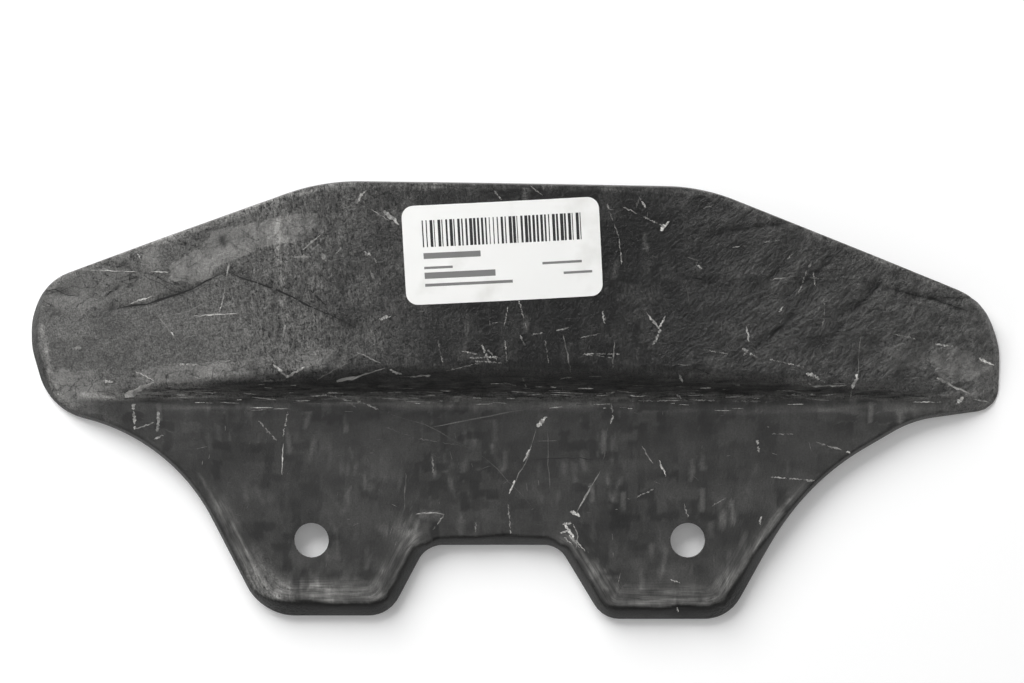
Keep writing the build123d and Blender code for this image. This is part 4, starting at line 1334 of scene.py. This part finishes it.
def cutEdge():
    material, tree, shader = newMaterial("carbon_laminate_cut_edge")
    place = addNode(tree, "TexCoord", {}, "Object")
    plySize = tuple(size * mm for size in cutFinish["plySize"])
    level = addNode(tree, "Mapping", {"Vector": place, "Scale": plySize}, vector_type="TEXTURE")
    ply = addNode(tree, "TexNoise", {"Vector": level, "Scale": 1.0, "Detail": 2.0})
    greys = {0: ply, 6: linear(cutFinish["dark"]), 7: linear(cutFinish["light"])}
    bump = {"Strength": cutFinish["bump"], "Distance": cutFinish["depth"] * mm, "Height": ply}
    fillInputs(tree, shader, {
        "Base Color": addNode(tree, "Mix", greys, 2, data_type="RGBA"),
        "Roughness": addNode(tree, "MapRange", {0: ply, **noiseSpan, **cutFinish["roughness"]}),
        "Normal": addNode(tree, "Bump", bump),
    })
    return material


bagFinish, shadedLipFinish = [bagSideCarbon(name) for name in bagSide["specular"]]
for finish in (bagFinish, mouldSideCarbon(), cutEdge(), shadedLipFinish):
    guard.data.materials.append(finish)
torn = resinMarksAndFoldShade()
torn.data.materials.append(tornResinAndFoldShade())
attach(torn, "root")


# Paper label: a rounded sheet that lies on the hood and follows its wrinkles
def labelPoint(a, b, lift):
    # a runs along the label, b up it, both in mm from its middle; the sheet lies on the inner face
    c, s = math.cos(labelPlace["turn"]), math.sin(labelPlace["turn"])
    x = labelPlace["x"] + a * c - b * s
    up = labelPlace["up"] + a * s + b * c
    y = foldY + (up + archDrop(x) * math.tan(form["tilt"])) * math.cos(form["tilt"])
    return onBagSide(x, y, lift)


def paperLabel():
    # columns along the label, each as tall as the rounded corners leave it
    w, h, r = labelPlace["width"] / 2, labelPlace["height"] / 2, labelPlace["corner"]
    turn = np.linspace(0, math.pi / 2, labelPlace["cornerColumns"])
    ends = w - r + r * np.sin(turn)
    a = np.concatenate([-ends[::-1], np.linspace(-w + r, w - r, labelPlace["columns"])[1:-1], ends])
    tall = h - r + np.sqrt(np.maximum(r * r - np.maximum(np.abs(a) - (w - r), 0) ** 2, 0))
    b = np.linspace(-1, 1, labelPlace["rows"])[:, None] * tall
    a = np.broadcast_to(a, b.shape)
    gap = np.full(b.shape, labelPlace["gap"])
    low = labelPoint(a, b, gap)
    high = labelPoint(a, b, gap + labelPlace["thick"] + labelPlace["cockle"] * ripple(a / 5, b / 4, 31))
    count = b.size
    grid = np.arange(count).reshape(b.shape)
    over = gridQuads(grid).reshape(-1, 4)
    rim = np.concatenate([grid[0], grid[1:, -1], grid[-1, ::-1][1:], grid[::-1, 0][1:-1]])
    side = np.stack([rim, rim + count, np.roll(rim, -1) + count, np.roll(rim, -1)], -1)
    sheet = np.concatenate([high.reshape(-1, 3), low.reshape(-1, 3)])
    piece, used = meshFrom("paper_label", sheet, [(over, 0), (side, 0), (over[:, ::-1] + count, 0)])
    piece.data.set_sharp_from_angle(angle=sharpAngle)
    for name, values in {"alongLabel": a, "upLabel": b}.items():
        attribute(piece, name, np.concatenate([values.ravel(), values.ravel()])[used])
    return piece


# White coated paper, matt and a little stained, with plain print: bars of random width, and rules.
# The bars and each rule are (low, high, start, end) in mm from the label's middle
printed = {
    "barPitch": 0.80, "barShare": {3: 0.22, 4: 0.85}, "bars": (1.6, 7.1, -16.0, 16.3), "ruleInk": 0.8,
    "rules": [
        (-0.8, 0.4, -16.0, -4.4), (-2.9, -2.4, -16.0, -10.2), (-4.9, -3.6, -16.0, -1.6),
        (-6.5, -5.9, -16.0, 1.8), (-3.1, -2.6, 8.0, 16.0), (-5.3, -4.8, 12.2, 18.0),
    ],
    "ink": "#2a2a2b", "paper": "#fafaf8", "stained": "#d9d8d3", "roughness": 0.55,
    "stainSize": 7.0, "stain": {1: 0.55, 2: 0.8, 3: 0.0, 4: 0.5},
    "fibreSize": 1.1, "bump": 0.15, "depth": 0.1,
}


def labelPaper():
    material, tree, shader = newMaterial("label_paper_white")
    a, b = [addNode(tree, "Attribute", {}, "Fac", attribute_name=name) for name in ("alongLabel", "upLabel")]
    cell = addNode(tree, "Math", {0: a, 1: printed["barPitch"]}, operation="DIVIDE")
    across = addNode(tree, "Math", {0: cell, 1: 1.0}, operation="FLOORED_MODULO")
    cell = addNode(tree, "Math", {0: cell}, operation="FLOOR")
    dealtShare = addNode(tree, "TexWhiteNoise", {"W": cell}, "Value", noise_dimensions="1D")
    wide = addNode(tree, "MapRange", {0: dealtShare, 1: 0.0, 2: 1.0, **printed["barShare"]})
    drawn = addNode(tree, "Math", {0: across, 1: wide}, operation="LESS_THAN")
    ink = 0.0
    for (low, high, start, end), mask in [
            (printed["bars"], drawn)] + [(rule, printed["ruleInk"]) for rule in printed["rules"]]:
        # inside where both the distance from the middle along and up are under half the size
        offA = {0: a, 1: (start + end) / 2, 2: (end - start) / 2}
        offB = {0: b, 1: (low + high) / 2, 2: (high - low) / 2}
        offA, offB = [addNode(tree, "Math", off, operation="COMPARE") for off in (offA, offB)]
        both = addNode(tree, "Math", {0: offA, 1: offB}, operation="MULTIPLY")
        ink = addNode(tree, "Math", {0: both, 1: mask, 2: ink}, operation="MULTIPLY_ADD", use_clamp=True)
    place = addNode(tree, "TexCoord", {}, "Object")
    stain = addNode(tree, "TexNoise", {"Vector": place, "Scale": 1000 / printed["stainSize"], "Detail": 4.0})
    stain = addNode(tree, "MapRange", {0: stain, **printed["stain"]})
    paper = {0: stain, 6: linear(printed["paper"]), 7: linear(printed["stained"])}
    paper = addNode(tree, "Mix", paper, 2, data_type="RGBA")
    inked = {0: ink, 6: paper, 7: linear(printed["ink"])}
    fibre = addNode(tree, "TexNoise", {"Vector": place, "Scale": 1000 / printed["fibreSize"], "Detail": 3.0})
    bump = {"Strength": printed["bump"], "Distance": printed["depth"] * mm, "Height": fibre}
    fillInputs(tree, shader, {
        "Base Color": addNode(tree, "Mix", inked, 2, data_type="RGBA"),
        "Roughness": printed["roughness"],
        "Normal": addNode(tree, "Bump", bump),
    })
    return material


label = paperLabel()
label.data.materials.append(labelPaper())
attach(label, "root")
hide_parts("label")
print("label laid on the hood")

# Stage: a white table, a window-like light at the upper left, weak lights at both sides and overhead.
# Each light has its place in metres, its size and its power
stage = {
    "floorSize": 6.0, "floorColour": "#f6f6f6", "floorGlow": 0.12, "floorRoughness": 0.9,
    "lights": {
        "window_light": ((-0.45, 0.85, 0.75), 0.9, 18.0),
        "ceiling_light": ((0.0, 0.2, 1.2), 1.2, 2.4),
        "left_light": ((-0.70, 0.0, 0.45), 0.3, 0.9),
        "right_light": ((0.80, 0.1, 0.45), 0.3, 0.45),
    },
    "aim": (0, 0.03, 0), "horizon": 1.0, "zenith": 0.15, "horizonTop": 0.25, "white": (1, 1, 1, 1),
}
floorHalf, floorZ = stage["floorSize"] / 2, -form["restDepth"] * mm
floorMesh = bpy.data.meshes.new("table_top")
floorCorners = [(a * floorHalf, b * floorHalf, floorZ) for a, b in ((-1, -1), (1, -1), (1, 1), (-1, 1))]
floorMesh.from_pydata(floorCorners, [], [(0, 1, 2, 3)])
floor = bpy.data.objects.new("table_top", floorMesh)
bpy.context.scene.collection.objects.link(floor)
material, tree, shader = newMaterial("table_white")
path = addNode(tree, "LightPath", {}).node.outputs
seen = {0: path["Is Camera Ray"], 1: path["Is Glossy Ray"]}
seen = addNode(tree, "Math", seen, operation="MAXIMUM")
seen = addNode(tree, "Math", {0: seen, 1: path["Is Transmission Ray"]}, operation="MAXIMUM")
fillInputs(tree, shader, {
    "Base Color": linear(stage["floorColour"]),
    "Roughness": stage["floorRoughness"],
    "Specular IOR Level": 0.0,
    "Emission Color": stage["white"],
    "Emission Strength": addNode(tree, "Math", {0: seen, 1: stage["floorGlow"]}, operation="MULTIPLY"),
})
floorMesh.materials.append(material)

for name, (spot, size, power) in stage["lights"].items():
    lamp = bpy.data.lights.new(name, "AREA")
    lamp.size = size
    lamp.energy = power
    lightObject = bpy.data.objects.new(name, lamp)
    bpy.context.scene.collection.objects.link(lightObject)
    lightObject.location = spot
    towards = Vector(stage["aim"]) - Vector(spot)
    lightObject.rotation_euler = towards.to_track_quat("-Z", "Y").to_euler()

# The world is white at the horizon and dim overhead
world = bpy.data.worlds.new("studio")
bpy.context.scene.world = world
world.use_nodes = True
tree = world.node_tree
up = addNode(tree, "SeparateXYZ", {0: addNode(tree, "TexCoord", {}, "Generated")}, 2)
sky = {0: up, 1: 0.0, 2: stage["horizonTop"], 3: stage["horizon"], 4: stage["zenith"]}
sky = addNode(tree, "MapRange", sky)
fillInputs(tree, tree.nodes["Background"], {0: stage["white"], 1: sky})

camera = bpy.data.objects.new("camera", bpy.data.cameras.new("camera"))
bpy.context.scene.collection.objects.link(camera)
camera.location = (view["overX"] * mm, view["overY"] * mm, view["height"] * mm)
camera.data.lens = view["lens"]
camera.data.sensor_width = view["sensor"]
camera.data.clip_start = view["clipStart"]
bpy.context.scene.camera = camera
bpy.context.scene.view_settings.view_transform = "Standard"
print("stage set")
